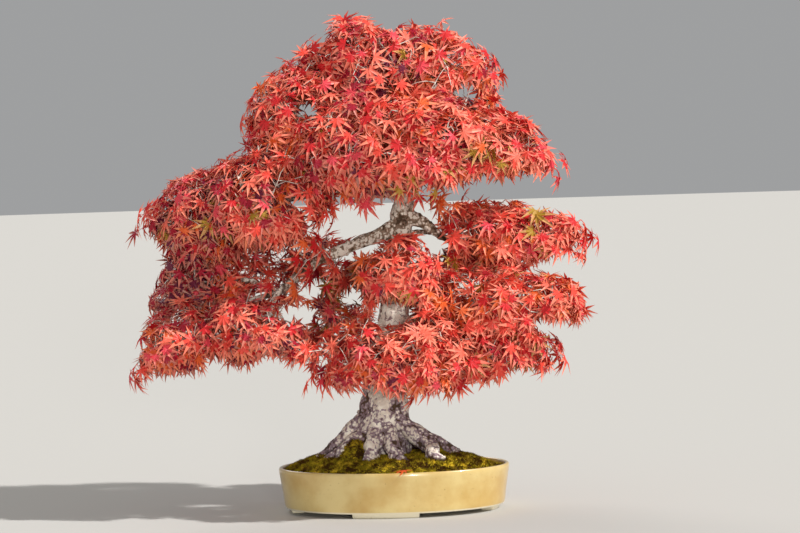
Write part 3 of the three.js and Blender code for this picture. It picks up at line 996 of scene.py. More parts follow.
@dataclass(frozen=True)
class LeafFinish:
    """A leaf in one plain tint, or the paler ends of its lobes, where a painted highlight of pale pink is
    mixed in.

    Attributes:
        tint: the leaf's tint.
        fading: how far it fades towards the pale pink of the painted highlight, from 0 to 1.
        pink: the pale pink of the painted highlight.
    """

    tint: Tint
    fading: float = 0.0
    pink: int = 0xFFB692

    def make(self) -> bpy.types.Material:
        """Makes the material."""
        sheet = NodeSheet(f"leaf_{self.tint.name.lower()}_{round(100 * self.fading)}")
        colour = [a + (b - a) * self.fading for a, b in zip(linear(self.tint.value), linear(self.pink))]
        sheet.set(Base_Color=(*colour, 1), Roughness=0.48, Specular_IOR_Level=0.35)
        return sheet.material


@dataclass(frozen=True)
class GlazeFinish:
    """A cream-yellow glaze, paler towards the foot as a painted reflection of the floor, with faint clouds
    and specks under its gloss.

    Attributes:
        cream: the glaze's colour.
        deep: the clouds' colour.
        pale: the foot's colour, a painted reflection of the floor.
        speck: the specks' colour.
        painted_reflection_below: where the foot's colour starts and is full, in metres above the table.
    """

    cream: int = 0xD8C080
    deep: int = 0xC29E58
    pale: int = 0xE6DCC0
    speck: int = 0x8C6C34
    painted_reflection_below: Pair = (0.0102, 0.0082)

    def make(self) -> bpy.types.Material:
        """Makes the material."""
        sheet = NodeSheet("glaze")
        sheet.set(Roughness=0.28, Specular_IOR_Level=0.5, Coat_Weight=0.6, Coat_Roughness=0.08)
        place = sheet.place()
        split = sheet.tree.nodes.new("ShaderNodeSeparateXYZ")
        sheet.link(place, split.inputs["Vector"])
        colour = sheet.mix(sheet.clouds(place, scale=14, low=0.35, high=0.7), self.cream, self.deep)
        # A pale band at the foot: a painted reflection of the floor
        colour = sheet.mix(sheet.ramp(split.outputs["Z"], *self.painted_reflection_below), colour, self.pale)
        specks = sheet.clouds(place, scale=420, low=0.68, high=0.74, detail=3, rough=0.6)
        sheet.paint(sheet.mix(specks, colour, self.speck))
        sheet.bump(sheet.noise(place, scale=35, detail=3), depth=0.0006, strength=0.35)
        return sheet.material


@dataclass(frozen=True)
class MossFinish:
    """Moss over soil: cushions of two greens with brown between them; the brighter yellow is partly painted
    sunlight.

    Attributes:
        name: the material's name.
        green: the cushions' colour.
        yellow: the cushions' brighter colour, partly painted sunlight on their tips.
        brown: the colour between the cushions.
    """

    name: str = "moss"
    green: int = 0x96841A
    yellow: int = 0xDCBC30
    brown: int = 0x3E2810

    def make(self) -> bpy.types.Material:
        """Makes the material."""
        sheet = NodeSheet(self.name)
        sheet.set(Roughness=0.95, Specular_IOR_Level=0.05)
        place = sheet.place()
        # Yellow patches, partly the moss's own colour and partly painted sunlight
        bright = sheet.clouds(place, scale=90, low=0.45, high=0.62, detail=5, rough=0.65)
        colour = sheet.mix(bright, self.green, self.yellow)
        bare = sheet.clouds(place, scale=58, low=0.44, high=0.56, detail=8, rough=0.78)
        sheet.paint(sheet.mix(bare, colour, self.brown))
        sheet.bump(sheet.noise(place, scale=620, detail=5, rough=0.7), depth=0.0015)
        return sheet.material


@dataclass(frozen=True)
class FloorFinish:
    """A plain pale floor.

    Attributes:
        colour: its colour.
    """

    colour: int = 0xC2BFB9

    def make(self) -> bpy.types.Material:
        """Makes the material."""
        sheet = NodeSheet("floor")
        sheet.set(Base_Color=(*linear(self.colour), 1), Roughness=0.9, Specular_IOR_Level=0.1)
        return sheet.material


# Geometry node trees


class NodeTree:
    """A geometry node tree with named inputs, and short ways to build it."""

    def __init__(self, name: str) -> None:
        """Makes a tree with a geometry input and output."""
        self.tree = bpy.data.node_groups.new(name, "GeometryNodeTree")
        self.tree.interface.new_socket("Geometry", in_out="INPUT", socket_type="NodeSocketGeometry")
        self.tree.interface.new_socket("Geometry", in_out="OUTPUT", socket_type="NodeSocketGeometry")
        self.start = self.tree.nodes.new("NodeGroupInput")
        self.end = self.tree.nodes.new("NodeGroupOutput")

    def input(self, name: str, kind: str) -> Socket:
        """Adds a named input.

        Args:
            name: its name.
            kind: Float, Int, Material, Collection or Object.

        Returns:
            The socket that gives its value inside the tree.
        """
        self.tree.interface.new_socket(name, in_out="INPUT", socket_type=f"NodeSocket{kind}")
        return self.start.outputs[name]

    def node(self, kind: str, **inputs: object) -> bpy.types.Node:
        """Adds a node.

        Args:
            kind: the node's type.
            inputs: values or sockets for its inputs, with _ for a space in their names.

        Returns:
            The node.
        """
        made = self.tree.nodes.new(kind)
        for name, value in inputs.items():
            self.feed(value, made.inputs[name.replace("_", " ")])
        return made

    def feed(self, value: object, socket: Socket) -> None:
        """Links a socket to an input, or sets the input's value."""
        if isinstance(value, Socket):
            self.tree.links.new(value, socket)
        else:
            socket.default_value = value

    def feed_typed(self, node: bpy.types.Node, **inputs: object) -> None:
        """Sets or links inputs that are told apart by their identifiers, as several share a name."""
        sockets = {socket.identifier: socket for socket in node.inputs}
        for identifier, value in inputs.items():
            self.feed(value, sockets[identifier])

    def attribute(self, name: str, kind: str) -> Socket:
        """A number or vector kept on the geometry."""
        made = self.node("GeometryNodeInputNamedAttribute")
        made.data_type = kind
        made.inputs["Name"].default_value = name
        return made.outputs["Attribute"]

    def dress(self, geometry: Socket, material: Socket, **where: Socket) -> Socket:
        """Gives a geometry, or the faces of its Selection, a material."""
        made = self.node("GeometryNodeSetMaterial", Geometry=geometry, Material=material, **where)
        return made.outputs["Geometry"]

    def realise(self, geometry: Socket) -> Socket:
        """Makes instances into real geometry."""
        return self.node("GeometryNodeRealizeInstances", Geometry=geometry).outputs["Geometry"]

    def give(self, geometry: Socket) -> None:
        """Makes a geometry the tree's result."""
        self.feed(geometry, self.end.inputs["Geometry"])

    def put_on(self, target: Object, **values: object) -> None:
        """Puts the tree on an object as a modifier.

        Args:
            target: the object.
            values: values for the tree's named inputs, with _ for a space in their names.
        """
        modifier = target.modifiers.new(self.tree.name, "NODES")
        modifier.node_group = self.tree
        items = self.tree.interface.items_tree
        sockets = {item.name: item.identifier for item in items if item.in_out == "INPUT"}
        for name, value in values.items():
            modifier[sockets[name.replace("_", " ")]] = value


def twig_tree() -> NodeTree:
    """The tree that draws a tube round every twig's line."""
    nodes = NodeTree("twig tubes")
    sides = nodes.input("Sides", "Int")
    material = nodes.input("Bark", "Material")
    curve = nodes.node("GeometryNodeMeshToCurve", Mesh=nodes.start.outputs["Geometry"])
    section = nodes.node("GeometryNodeCurvePrimitiveCircle", Resolution=sides, Radius=1.0)
    tubes = nodes.node(
        "GeometryNodeCurveToMesh",
        Curve=curve.outputs["Curve"],
        Profile_Curve=section.outputs["Curve"],
        Scale=nodes.attribute("thickness", "FLOAT"),
        Fill_Caps=True,
    )
    smooth = nodes.node("GeometryNodeSetShadeSmooth", Geometry=tubes.outputs["Mesh"], Shade_Smooth=True)
    nodes.give(nodes.dress(nodes.realise(smooth.outputs["Geometry"]), material))
    return nodes


def leaf_tree() -> NodeTree:
    """The tree that puts a leaf at every leaf's place, turned, sized and tinted as its point says."""
    nodes = NodeTree("leaf sprays")
    forms = nodes.input("Leaf forms", "Collection")
    picked = nodes.node(
        "GeometryNodeCollectionInfo", Collection=forms, Separate_Children=True, Reset_Children=True
    )
    turn = nodes.node("FunctionNodeEulerToRotation", Euler=nodes.attribute("turn", "FLOAT_VECTOR"))
    placed = nodes.node(
        "GeometryNodeInstanceOnPoints",
        Points=nodes.start.outputs["Geometry"],
        Instance=picked.outputs["Instances"],
        Pick_Instance=True,
        Instance_Index=nodes.attribute("form", "INT"),
        Rotation=turn.outputs["Rotation"],
        Scale=nodes.attribute("size", "FLOAT"),
    )
    geometry = nodes.realise(placed.outputs["Instances"])
    tint = nodes.attribute("tint", "INT")
    ends = nodes.attribute(MARK, "BOOLEAN")
    for index, each in enumerate(Tint):
        same = nodes.node("FunctionNodeCompare")
        same.data_type = "INT"
        same.operation = "EQUAL"
        nodes.feed_typed(same, A_INT=tint, B_INT=index)
        both = nodes.node("FunctionNodeBooleanMath")
        nodes.feed(same.outputs["Result"], both.inputs[0])
        nodes.feed(ends, both.inputs[1])
        # The marked ends take the paler finish, a painted highlight
        for part, chosen in (("blade", same.outputs["Result"]), ("ends", both.outputs["Boolean"])):
            material = nodes.input(f"{each.name.lower()} {part}", "Material")
            geometry = nodes.dress(geometry, material, Selection=chosen)
    nodes.give(geometry)
    return nodes


def tuft_tree() -> NodeTree:
    """The tree that scatters tufts of moss over the ground."""
    plain_number = 1
    nodes = NodeTree("moss tufts")
    density = nodes.input("Tufts per square metre", "Float")
    least = nodes.input("Least size", "Float")
    most = nodes.input("Greatest size", "Float")
    seed = nodes.input("Seed", "Int")
    tuft = nodes.input("Tuft", "Object")
    material = nodes.input("Moss", "Material")
    points = nodes.node(
        "GeometryNodeDistributePointsOnFaces",
        Mesh=nodes.start.outputs["Geometry"],
        Density=density,
        Seed=seed,
        Selection=nodes.attribute("growth", "FLOAT"),
    )
    info = nodes.node("GeometryNodeObjectInfo", Object=tuft)
    size = nodes.node("FunctionNodeRandomValue")
    nodes.feed_typed(size, Min_001=least, Max_001=most, Seed=seed)
    placed = nodes.node(
        "GeometryNodeInstanceOnPoints",
        Points=points.outputs["Points"],
        Instance=info.outputs["Geometry"],
        Rotation=points.outputs["Rotation"],
        Scale=size.outputs[plain_number],
    )
    nodes.give(nodes.dress(nodes.realise(placed.outputs["Instances"]), material))
    return nodes


# The plant


@dataclass
class Skeleton:
    """Trunk, roots and boughs as limbs, by the rule that the solid model follows.

    Attributes:
        trunk: the trunk.
        roots: the surface roots.
        boughs: the boughs, by the mass that each carries.
    """

    trunk: Limb = field(init=False)
    roots: list[Limb] = field(init=False)
    boughs: dict[str, Limb] = field(init=False)

    def __post_init__(self) -> None:
        """Grows the limbs, each from its parent."""
        self.trunk = Limb(TRUNK, TRUNK_STEPS)
        draw = SeededDraw(ROOT_SEED)
        self.roots = [self._root(root, draw) for root in ROOTS]
        self.boughs = {}
        draw = SeededDraw(BOUGH_SEED)
        for name, bough in BOUGHS.items():
            self.boughs[name] = self._bough(name, bough, draw)

    def limb(self, name: str) -> Limb:
        """The limb that carries a mass: its bough, or the trunk where it has none."""
        return self.boughs.get(name, self.trunk)

    def _root(self, root: Root, draw: SeededDraw) -> Limb:
        """A surface root, from inside the trunk to a tip that dips under the ground."""
        middle_x, middle_y = TRUNK[0][:2]
        stations = []
        for share, of_rise, of_radius, thickness in ROOT_STATIONS:
            bearing = math.radians(root.bearing + draw.between(-ROOT_SWING, ROOT_SWING))
            reach = share * root.reach
            x = middle_x + reach * math.cos(bearing)
            y = middle_y + reach * math.sin(bearing)
            z = GROUND + (root.rise * of_rise + root.radius * of_radius)
            stations.append((x, y, z, thickness * root.radius))
        return Limb(stations, ROOT_STEPS)

    def _bough(self, name: str, bough: Bough, draw: SeededDraw) -> Limb:
        """A bough: it leaves its parent's middle and ends inside the space of its mass."""
        parent = self.trunk if bough.parent == "trunk" else self.boughs[bough.parent]
        start = parent.joint(bough.share)
        space = MASSES[name]
        last = np.array(bough.via[-1], float) if bough.via else start
        inwards = min(BOUGH_STOPS, BOUGH_ENTERS / space.outness(last))
        end = space.middle + (last - space.middle) * inwards
        length = float(np.linalg.norm(end - start))
        if bough.via:
            places = [start, *(np.array(place, float) for place in bough.via), end]
        else:
            rise = bough.rise * length
            places = [self._passing(start, end, share, rise, draw) for share in BOUGH_BENDS]
        shares = np.linspace(0, 1, len(places))
        radii = bough.radius + (BOUGH_TIP_RADIUS - bough.radius) * shares**BOUGH_TAPER
        stations = [(*place, radius) for place, radius in zip(places, radii)]
        return Limb(stations, max(BOUGH_LEAST_STEPS, round(length / BOUGH_STEP)))

    def _passing(self, start: Array, end: Array, share: float, rise: float, draw: SeededDraw) -> Array:
        """A point on a bough's way, off the straight line by its rise and its wander."""
        arch = math.sin(math.pi * share)
        wander = BOUGH_WANDER * float(np.linalg.norm(end - start)) * arch
        aside = np.array([draw.between(-wander, wander), draw.between(-wander, wander), rise * arch])
        return start + (end - start) * share + aside


class LimbFinder:
    """Finds the nearest limb to a point, with its radius and direction there."""

    def __init__(self, tubes: Sequence[Tube]) -> None:
        """Indexes the tubes' points."""
        self.places = np.vstack([tube.places for tube in tubes])
        self.radii = np.concatenate([tube.radii for tube in tubes])
        self.headings = np.vstack([tube.headings for tube in tubes])
        self.tree = kdtree.KDTree(len(self.places))
        for index, place in enumerate(self.places):
            self.tree.insert(place, index)
        self.tree.balance()

    def nearest(self, point: Array) -> tuple[int, float]:
        """The index of the nearest limb point, and its distance."""
        _, index, distance = self.tree.find(point)
        return index, distance

    def is_clear(self, point: Array, room: float) -> bool:
        """Whether a point is further than room from every limb's surface."""
        index, distance = self.nearest(point)
        return distance > self.radii[index] + room


@dataclass(frozen=True)
class Patch:
    """A round patch on the front of the trunk.

    Attributes:
        x: where its middle is across.
        z: where its middle is in height.
        reach: how far it reaches.
    """

    x: float
    z: float
    reach: float

    def nearness(self, point: Array) -> float:
        """How near a point is to its middle: 1 there, 0 at its reach or behind the trunk's middle."""
        share = max(0.0, 1 - math.hypot(point[0] - self.x, point[2] - self.z) / self.reach)
        return share * float(point[1] < 0)


@dataclass
class Bark:
    """Trunk, roots and boughs in one skin with the bark's relief.

    Attributes:
        skeleton: the limbs.
        space: turns the tree's millimetres into the model's metres.
        voxel: how fine the skin is.
        spacing: the distance between two rings of a limb before it is skinned.
        sides: the sides of a limb before it is skinned.
        flare: how much wider a bough starts, as a share of its radius.
        knobs: how many old pruning knobs the limbs carry.
        on_trunk: the share of them on the trunk.
        knob_places: where on a limb they start and end, as shares of its length.
        largest_limb: the radius that a knob's size takes its measure from, at most.
        knob_sizes: the smallest and the largest knob's radius, as shares of that.
        knob_leans: how far a knob leans back and ahead along its limb.
        knob_reaches: how far the shortest and the longest knob stand out, in radii.
        knob_taper: a knob's radius at its foot, middle and tip, as shares.
        knob_sunk: how far a knob's foot is sunk into its limb, in radii.
        knob_sides: the sides of a knob.
        rootlets: how many side roots fork off each root.
        root_tail: a root's thin end: how far it goes on, how far aside, and its share of the radius.
        rootlet_starts: where on a root its side roots start, as shares of its length.
        rootlet_radii: the thinnest and the thickest side root, as shares of the root's radius.
        rootlet_turns: how far side roots turn aside, at least and at most.
        rootlet_reaches: how far the shortest and the longest side root reach.
        rootlet_bends: a side root's bends: share of its reach, and share of its radius.
        root_foot: where on a root its thin end starts, as a share of its length.
        bury: how far the skin reaches under the ground's level.
        smoothing: how often the skin is smoothed.
        knob_spacing: the distance between the bark's small knobs.
        knob_edge: how far a small knob reaches, in cells of the bark.
        seam_width: the width of the seams between them, in cells of the bark.
        stain: where the earth's stain on the roots is full, over the ground's level, and its fading.
        mauve_top: where the bark starts to turn brown, and how much higher it is all brown.
        scars: the dark scars on the trunk's front.
        painted_sunlight: round patches on the trunk's front that are painted white where sunlight falls.
        seed: for everything random.
        tubes: the limbs before they are skinned.
    """

    skeleton: Skeleton
    space: TreeFrame
    voxel: float = 1.75
    spacing: float = 3.0
    sides: int = 28
    flare: float = 0.45
    knobs: int = 320
    on_trunk: float = 0.35
    knob_places: Pair = (0.12, 0.9)
    largest_limb: float = 9
    knob_sizes: Pair = (0.3, 0.5)
    knob_leans: Pair = (-0.3, 0.5)
    knob_reaches: Pair = (1.2, 2.2)
    knob_taper: Triple = (1, 0.9, 0.55)
    knob_sunk: float = 0.8
    knob_sides: int = 10
    rootlets: int = 4
    root_tail: tuple[Triple, ...] = ((0, 0, 1), (11, 2, 0.8), (20, 5, 0.55), (28, 10, 0.3))
    rootlet_starts: Pair = (0.3, 0.75)
    rootlet_radii: Pair = (0.4, 0.62)
    rootlet_turns: Pair = (0.6, 1.3)
    rootlet_reaches: Pair = (20, 36)
    rootlet_bends: tuple[Pair, ...] = ((0.35, 0.9), (0.7, 0.62), (1.0, 0.3))
    root_foot: float = 0.8
    bury: float = 13.0
    smoothing: int = 2
    knob_spacing: float = 8.5
    knob_edge: float = 0.8
    seam_width: float = 0.16
    stain: Pair = (-3, 5)
    mauve_top: Pair = (230, 150)
    scars: tuple[Patch, ...] = (Patch(5, 157, 15), Patch(24, 436, 14))
    painted_sunlight: tuple[Patch, ...] = (Patch(0, 300, 70), Patch(28, 462, 24), Patch(-14, 170, 22))
    seed: int = 21
    tubes: list[Tube] = field(init=False)

    def __post_init__(self) -> None:
        """Lays out the limbs as tubes."""
        roots = self.skeleton.roots
        rng = np.random.default_rng(self.seed)
        self.tubes = [limb.tube(self.spacing) for limb in (self.skeleton.trunk, *roots)]
        self.tubes += [self._tail(root, rng) for root in roots]
        self.tubes += [self._rootlet(root, rng) for root in roots for _ in range(self.rootlets)]
        self.tubes += [bough.tube(self.spacing, self.flare) for bough in self.skeleton.boughs.values()]

    def _tail(self, root: Limb, rng: np.random.Generator) -> Tube:
        """The thin end of a root, which carries on and dips into the moss."""
        dip, bow, sway = 0.42, 0.01, 0.35
        ahead = root.line.heading(1.0) * [1, 1, 0] - dip * UP
        aside = np.cross(ahead, UP) * rng.uniform(-sway, sway)
        start, thick = root.line.at(self.root_foot), root.radius(self.root_foot)
        stations = []
        for along, off, share in self.root_tail:
            place = start + ahead * along + aside * off - bow * along**2 * UP
            stations.append((*(place - self._slope(place) * UP), thick * share))
        return Limb(stations, len(stations) - 1).tube(self.spacing)

    def _slope(self, place: Array) -> float:
        """How much lower than its level top the mound lies at a place."""
        steepness, shoulder = 0.6, 24
        return steepness * max(0.0, oval_radius(place) - PLATEAU + shoulder)

    def _rootlet(self, root: Limb, rng: np.random.Generator) -> Tube:
        """A crooked side root that forks off and dips into the moss."""
        crook, fall = 2.5, 1.6
        share = rng.uniform(*self.rootlet_starts)
        start, thick = root.line.at(share), root.radius(share) * rng.uniform(*self.rootlet_radii)
        ahead = root.line.heading(share) * [1, 1, 0]
        aside = np.cross(ahead, UP) * rng.choice((-1, 1)) * rng.uniform(*self.rootlet_turns)
        reach = rng.uniform(*self.rootlet_reaches)
        stations = [(*start, thick)]
        for step, size in self.rootlet_bends:
            place = start + (ahead + aside * step) * reach * step + rng.normal(scale=crook, size=3)
            height = (start[2] - GROUND) * (1 - step) ** fall
            place[2] = GROUND + height - thick * 0.5 * step - self._slope(place)
            stations.append((*place, thick * size))
        return Limb(stations, len(stations) - 1).tube(self.spacing)

    def build(self) -> Object:
        """Builds the skinned and carved piece."""
        shape = Shape()
        for tube in self.tubes:
            shape.add_tube(tube, self.sides, self._flutes)
        self._add_knobs(shape)
        source = add_object("limbs", shape.mesh("limbs", self.space.place))
        remesh = source.modifiers.new("skin", "REMESH")
        remesh.mode = "VOXEL"
        remesh.voxel_size = self.voxel * MM
        piece = finished(source, "bark")
        self._smooth(piece.data)
        self._carve(piece.data)
        self._cut_flat(piece.data)
        shade_smooth(piece.data)
        return piece

    def _flutes(self, turn: float, along: float) -> float:
        """The long ribs and hollows that run along a limb."""
        around, length, finer = 1.3, 55, 2.7
        where = Vector((math.cos(turn) * around, math.sin(turn) * around, along / length))
        return 0.16 * noise.noise(where) + 0.07 * noise.noise(where * finer)

    def _add_knobs(self, shape: Shape) -> None:
        """Adds pruning knobs on the limbs above the root flare."""
        rng = np.random.default_rng(self.seed)
        limbs = [self.skeleton.trunk, *self.skeleton.boughs.values()]
        for _ in range(self.knobs):
            limb = limbs[0] if rng.random() < self.on_trunk else limbs[rng.integers(1, len(limbs))]
            share = rng.uniform(*self.knob_places)
            radius = limb.radius(share)
            heading = limb.line.heading(share)
            out = square_to(rng.normal(size=3), heading)
            size = rng.uniform(*self.knob_sizes) * min(radius, self.largest_limb)
            start = limb.line.at(share) + out * (radius - size * self.knob_sunk)
            way = (out + heading * rng.uniform(*self.knob_leans)) * size
            tip = start + way * rng.uniform(*self.knob_reaches)
            radii = size * np.array(self.knob_taper)
            shape.add_tube(Tube(np.array([start, (start + tip) / 2, tip]), radii), self.knob_sides)

    def _smooth(self, mesh: Mesh) -> None:
        """Rounds off the steps that the voxels leave."""
        axes = {f"use_axis_{axis}": True for axis in "xyz"}
        with edited(mesh) as body:
            for _ in range(self.smoothing):
                bmesh.ops.smooth_vert(body, verts=body.verts, factor=0.5, **axes)

    def _carve(self, mesh: Mesh) -> None:
        """Moves the skin in and out by the bark's relief, and keeps where it lies hollow, which picks the
        bark's colours, painted sunlight and shade among them.
        """
        finder = LimbFinder(self.tubes)
        places, normals = vertices_of(mesh), read_vectors(mesh.vertex_normals, "vector")
        own = self.space.back(places)
        radii = [float(finder.radii[finder.nearest(point)[0]]) for point in own]
        relief = np.array([self._relief(point, radius) for point, radius in zip(own, radii)])
        full, fading = self.stain
        feet = 1 - (own[:, 2] - GROUND - full) / fading
        start, change = self.mauve_top
        move_vertices(mesh, places + normals * (relief[:, 0] * MM)[:, None])
        keep_number(mesh, BarkFinish.hollow_and_shade_attribute, np.clip(relief[:, 1], 0, 1))
        keep_number(mesh, BarkFinish.foot_attribute, np.clip(feet, 0, 1))
        keep_number(mesh, BarkFinish.height_attribute, np.clip((own[:, 2] - start) / change, 0, 1))

    def _relief(self, point: Array, radius: float) -> Pair:
        """The bark's relief at one point: how far it stands out, and how hollow it lies, with painted
        sunlight and shade mixed into that number.

        Args:
            point: a point of the skin.
            radius: the limb's radius there.

        Returns:
            The height in millimetres, and a number from 0 to 1.
        """
        broad = lumps(point, size=26)
        knobby = clamped(0.75 + 1.6 * lumps(point, size=40, shift=9))
        near, next_near = noise.voronoi(Vector(point * [1, 1, 0.8] / self.knob_spacing))[0][:2]
        dome = domed(near, self.knob_edge)
        seam = max(0.0, 1 - (next_near - near) / self.seam_width)
        fine_near = noise.voronoi(Vector(point / (0.42 * self.knob_spacing)))[0][0]
        fine = domed(fine_near, self.knob_edge)
        scale = 0.6 + 0.12 * min(radius, 24)
        height = scale * (1.5 * broad + knobby * (dome - 0.5) + 0.3 * (fine - 0.5)) - 0.3 * seam
        # Knob tops and fine knobs get low numbers, for the white of painted sunlight; hollows, seams and
        # scars get high ones, for colours that are partly painted shade
        hollow = 0.8 * (0.5 + 0.5 * knobby) * (1 - dome) + 0.3 * (1 - fine) + 0.2 * seam - 0.5 * broad
        ragged = 1 + 0.9 * lumps(point, size=7)
        scar = max(patch.nearness(point) for patch in self.scars) * ragged
        # Painted sunlight: round patches on the front are taken out of the hollows' colours, so they show
        # white
        painted_sunlight = max(patch.nearness(point) for patch in self.painted_sunlight)
        return height - 3.5 * scar, hollow + 0.75 * scar - 0.95 * painted_sunlight * ragged

    def _cut_flat(self, mesh: Mesh) -> None:
        """Cuts the skin off flat just under the ground's level."""
        level = Vector((0, 0, (GROUND - self.bury) * MM))
        plane = {"plane_co": level, "plane_no": (0, 0, -1)}
        with edited(mesh) as body:
            everything = [*body.verts, *body.edges, *body.faces]
            cut = bmesh.ops.bisect_plane(body, geom=everything, clear_outer=True, **plane)
            rim = [edge for edge in cut["geom_cut"] if isinstance(edge, bmesh.types.BMEdge)]
            bmesh.ops.triangle_fill(body, edges=rim, use_beauty=True)
            bmesh.ops.recalc_face_normals(body, faces=body.faces)


# Leaves


@dataclass(frozen=True)
class LeafForm:
    """One form of the leaf: pointed lobes that spread from the end of a leaf stalk.

    It lies along +Y with its upper side towards +Z, and its stalk starts at the origin.

    Attributes:
        lobes: degrees from the middle lobe, and length as a share of it, from side to side.
        length: the middle lobe's length.
        stalk: the stalk's length.
        bow: how far the blade is turned down from the stalk, in degrees.
        droop: how far a lobe falls, per square millimetre of its length.
        fold: how deep each lobe is folded along its rib, as a share of its width.
        twist: how much the lobes differ in height.
        seed: for the small differences among its lobes.
        notch: how far from the stalk two lobes part, as a share of the leaf's length.
        full_notch: the shortest lobe, as a share, beside which a notch is that far out.
        shoulder: where a lobe is widest, as a share of its length.
        width: half a lobe's width there, as a share of its length.
        base: the blade's corners beside the stalk: degrees past the last lobe, and share of the length.
        thickness: the blade's thickness at its ribs.
        stalk_radius: the stalk's radius.
    """

    lobes: tuple[Pair, ...]
    length: float = 26.0
    stalk: float = 17.0
    bow: float = 25.0
    droop: float = 0.008
    fold: float = 0.35
    twist: float = 0.08
    seed: int = 1
    notch: float = 0.23
    full_notch: float = 0.8
    shoulder: float = 0.44
    width: float = 0.1
    base: Pair = (24, 0.07)
    thickness: float = 0.35
    stalk_radius: float = 0.45

    def build(self, name: str) -> Object:
        """Makes the leaf as a closed mesh."""
        shape = Shape()
        self._add_blade(shape)
        arch, overlap, sunk = 0.1, 0.6, 0.1
        bend = [0.0, self.stalk * 0.5, self.stalk * arch]
        line = np.array([[0.0, 0.0, 0.0], bend, [0.0, self.stalk + overlap, -sunk]])
        shape.add_tube(Tube(line, np.full(len(line), self.stalk_radius)), 3)
        return add_object(name, shape.mesh(name, lambda points: points * MM))

    def along(self, share: float) -> Array:
        """A place on the middle lobe's rib."""
        return self._spot(0, share * self.length)

    def _add_blade(self, shape: Shape) -> None:
        """Adds the blade: an upper and a lower side that meet along the outline."""
        turns, lengths, spine_end = (-4, 4), (0.93, 1.06), 0.95
        rng = np.random.default_rng(self.seed)
        lobes = []
        for angle, share in self.lobes:
            lobes.append((angle + rng.uniform(*turns), share * rng.uniform(*lengths)))
        lifts = rng.uniform(-self.twist, self.twist, len(lobes))
        outline, spines = [self._spot(lobes[0][0] - self.base[0], self.base[1] * self.length)], []
        for number, ((angle, share), lift) in enumerate(zip(lobes, lifts)):
            reach = share * self.length
            half = self.width * reach
            outline.append(self._spot(angle, reach * self.shoulder, -half, lift))
            outline.append(self._spot(angle, reach, 0.0, lift))
            outline.append(self._spot(angle, reach * self.shoulder, half, lift))
            outline.append(self._border(lobes, number))
            spine = reach * self.shoulder * spine_end
            spines.append(self._spot(angle, spine, 0.0, lift, -self.fold * half))
        inner = np.array([self._spot(0, 0.0), *spines])
        lower = inner - np.array([0.0, 0.0, self.thickness])
        sides = ((len(outline), False), (len(outline) + len(inner), True))
        faces = []
        for lobe in range(len(lobes)):
            ring = [4 * lobe + k for k in range(5)]
            for hub, flip in sides:
                rib = hub + 1 + lobe
                corners = [hub, *ring, hub]
                for a, b in zip(corners, corners[1:]):
                    # Faces at a lobe's tip are marked for the paler finish, a painted highlight
                    if ring[2] in (a, b):
                        shape.marked.append(len(faces))
                    faces.append((rib, b, a) if flip else (rib, a, b))
        for hub, flip in sides:
            faces.append((hub, 0, len(outline) - 1) if flip else (hub, len(outline) - 1, 0))
        shape.add(np.vstack([outline, inner, lower]), faces)

    def _border(self, lobes: Sequence[Pair], number: int) -> Array:
        """The outline's corner after a lobe: a notch, or the blade's last corner beside the stalk."""
        angle, share = lobes[number]
        if number == len(lobes) - 1:
            return self._spot(angle + self.base[0], self.base[1] * self.length)
        next_angle, next_share = lobes[number + 1]
        shortest = min(share, next_share, self.full_notch)
        return self._spot((angle + next_angle) / 2, self.notch * self.length * shortest / self.full_notch)

    def _spot(
        self, angle: float, reach: float, aside: float = 0.0, lift: float = 0.0, raised: float = 0.0
    ) -> Array:
        """A point of the blade, from its lobe's direction, its distance out and to the lobe's side."""
        turn, bow = math.radians(angle), math.radians(self.bow)
        x = reach * math.sin(turn) + aside * math.cos(turn)
        y = reach * math.cos(turn) - aside * math.sin(turn)
        z = raised + lift * reach - self.droop * reach * reach
        return np.array(
            [x, self.stalk + y * math.cos(bow) + z * math.sin(bow), z * math.cos(bow) - y * math.sin(bow)]
        )


SEVEN_LOBES = ((-122, 0.5), (-80, 0.8), (-39, 0.96), (0, 1.0), (39, 0.96), (80, 0.8), (122, 0.5))
FIVE_LOBES = ((-92, 0.7), (-45, 0.94), (0, 1.0), (45, 0.94), (92, 0.7))
LEAF_FORMS = (
    LeafForm(SEVEN_LOBES, seed=1),
    LeafForm(SEVEN_LOBES, bow=40, droop=0.011, stalk=20, seed=2),
    LeafForm(SEVEN_LOBES, bow=12, droop=0.005, stalk=15, seed=3),
    LeafForm(SEVEN_LOBES, bow=55, droop=0.014, stalk=16, twist=0.14, seed=4),
    LeafForm(FIVE_LOBES, bow=30, droop=0.009, stalk=14, seed=5),
    LeafForm(FIVE_LOBES, bow=18, droop=0.012, stalk=19, twist=0.12, seed=6),
    LeafForm(SEVEN_LOBES, bow=30, droop=0.016, stalk=18, twist=0.16, fold=0.6, seed=7),
    LeafForm(SEVEN_LOBES, bow=5, droop=0.007, stalk=21, seed=8),
)


@dataclass(frozen=True)
class TwigOrder:
    """One order of twigs.

    Attributes:
        surface: square millimetres of a space's surface for each twig.
        ends: how far out its twigs end, as shares of the space's reach.
        room: how much room they leave at the space's edge for their leaves.
        radius: the greatest radius at their feet.
        tip: the radius at their tips.
    """

    surface: float
    ends: Pair
    room: Pair
    radius: float
    tip: float


TWIG_ORDERS = (
    TwigOrder(6000, (0.55, 0.7), (30, 40), 2.0, 1.2),
    TwigOrder(2600, (0.6, 0.8), (26, 38), 1.4, 0.85),
    TwigOrder(1500, (0.4, 0.7), (34, 55), 1.0, 0.6),
    TwigOrder(1050, (0.86, 1.0), (22, 34), 0.95, 0.55),
)
FOLIAGE_SEED = 101
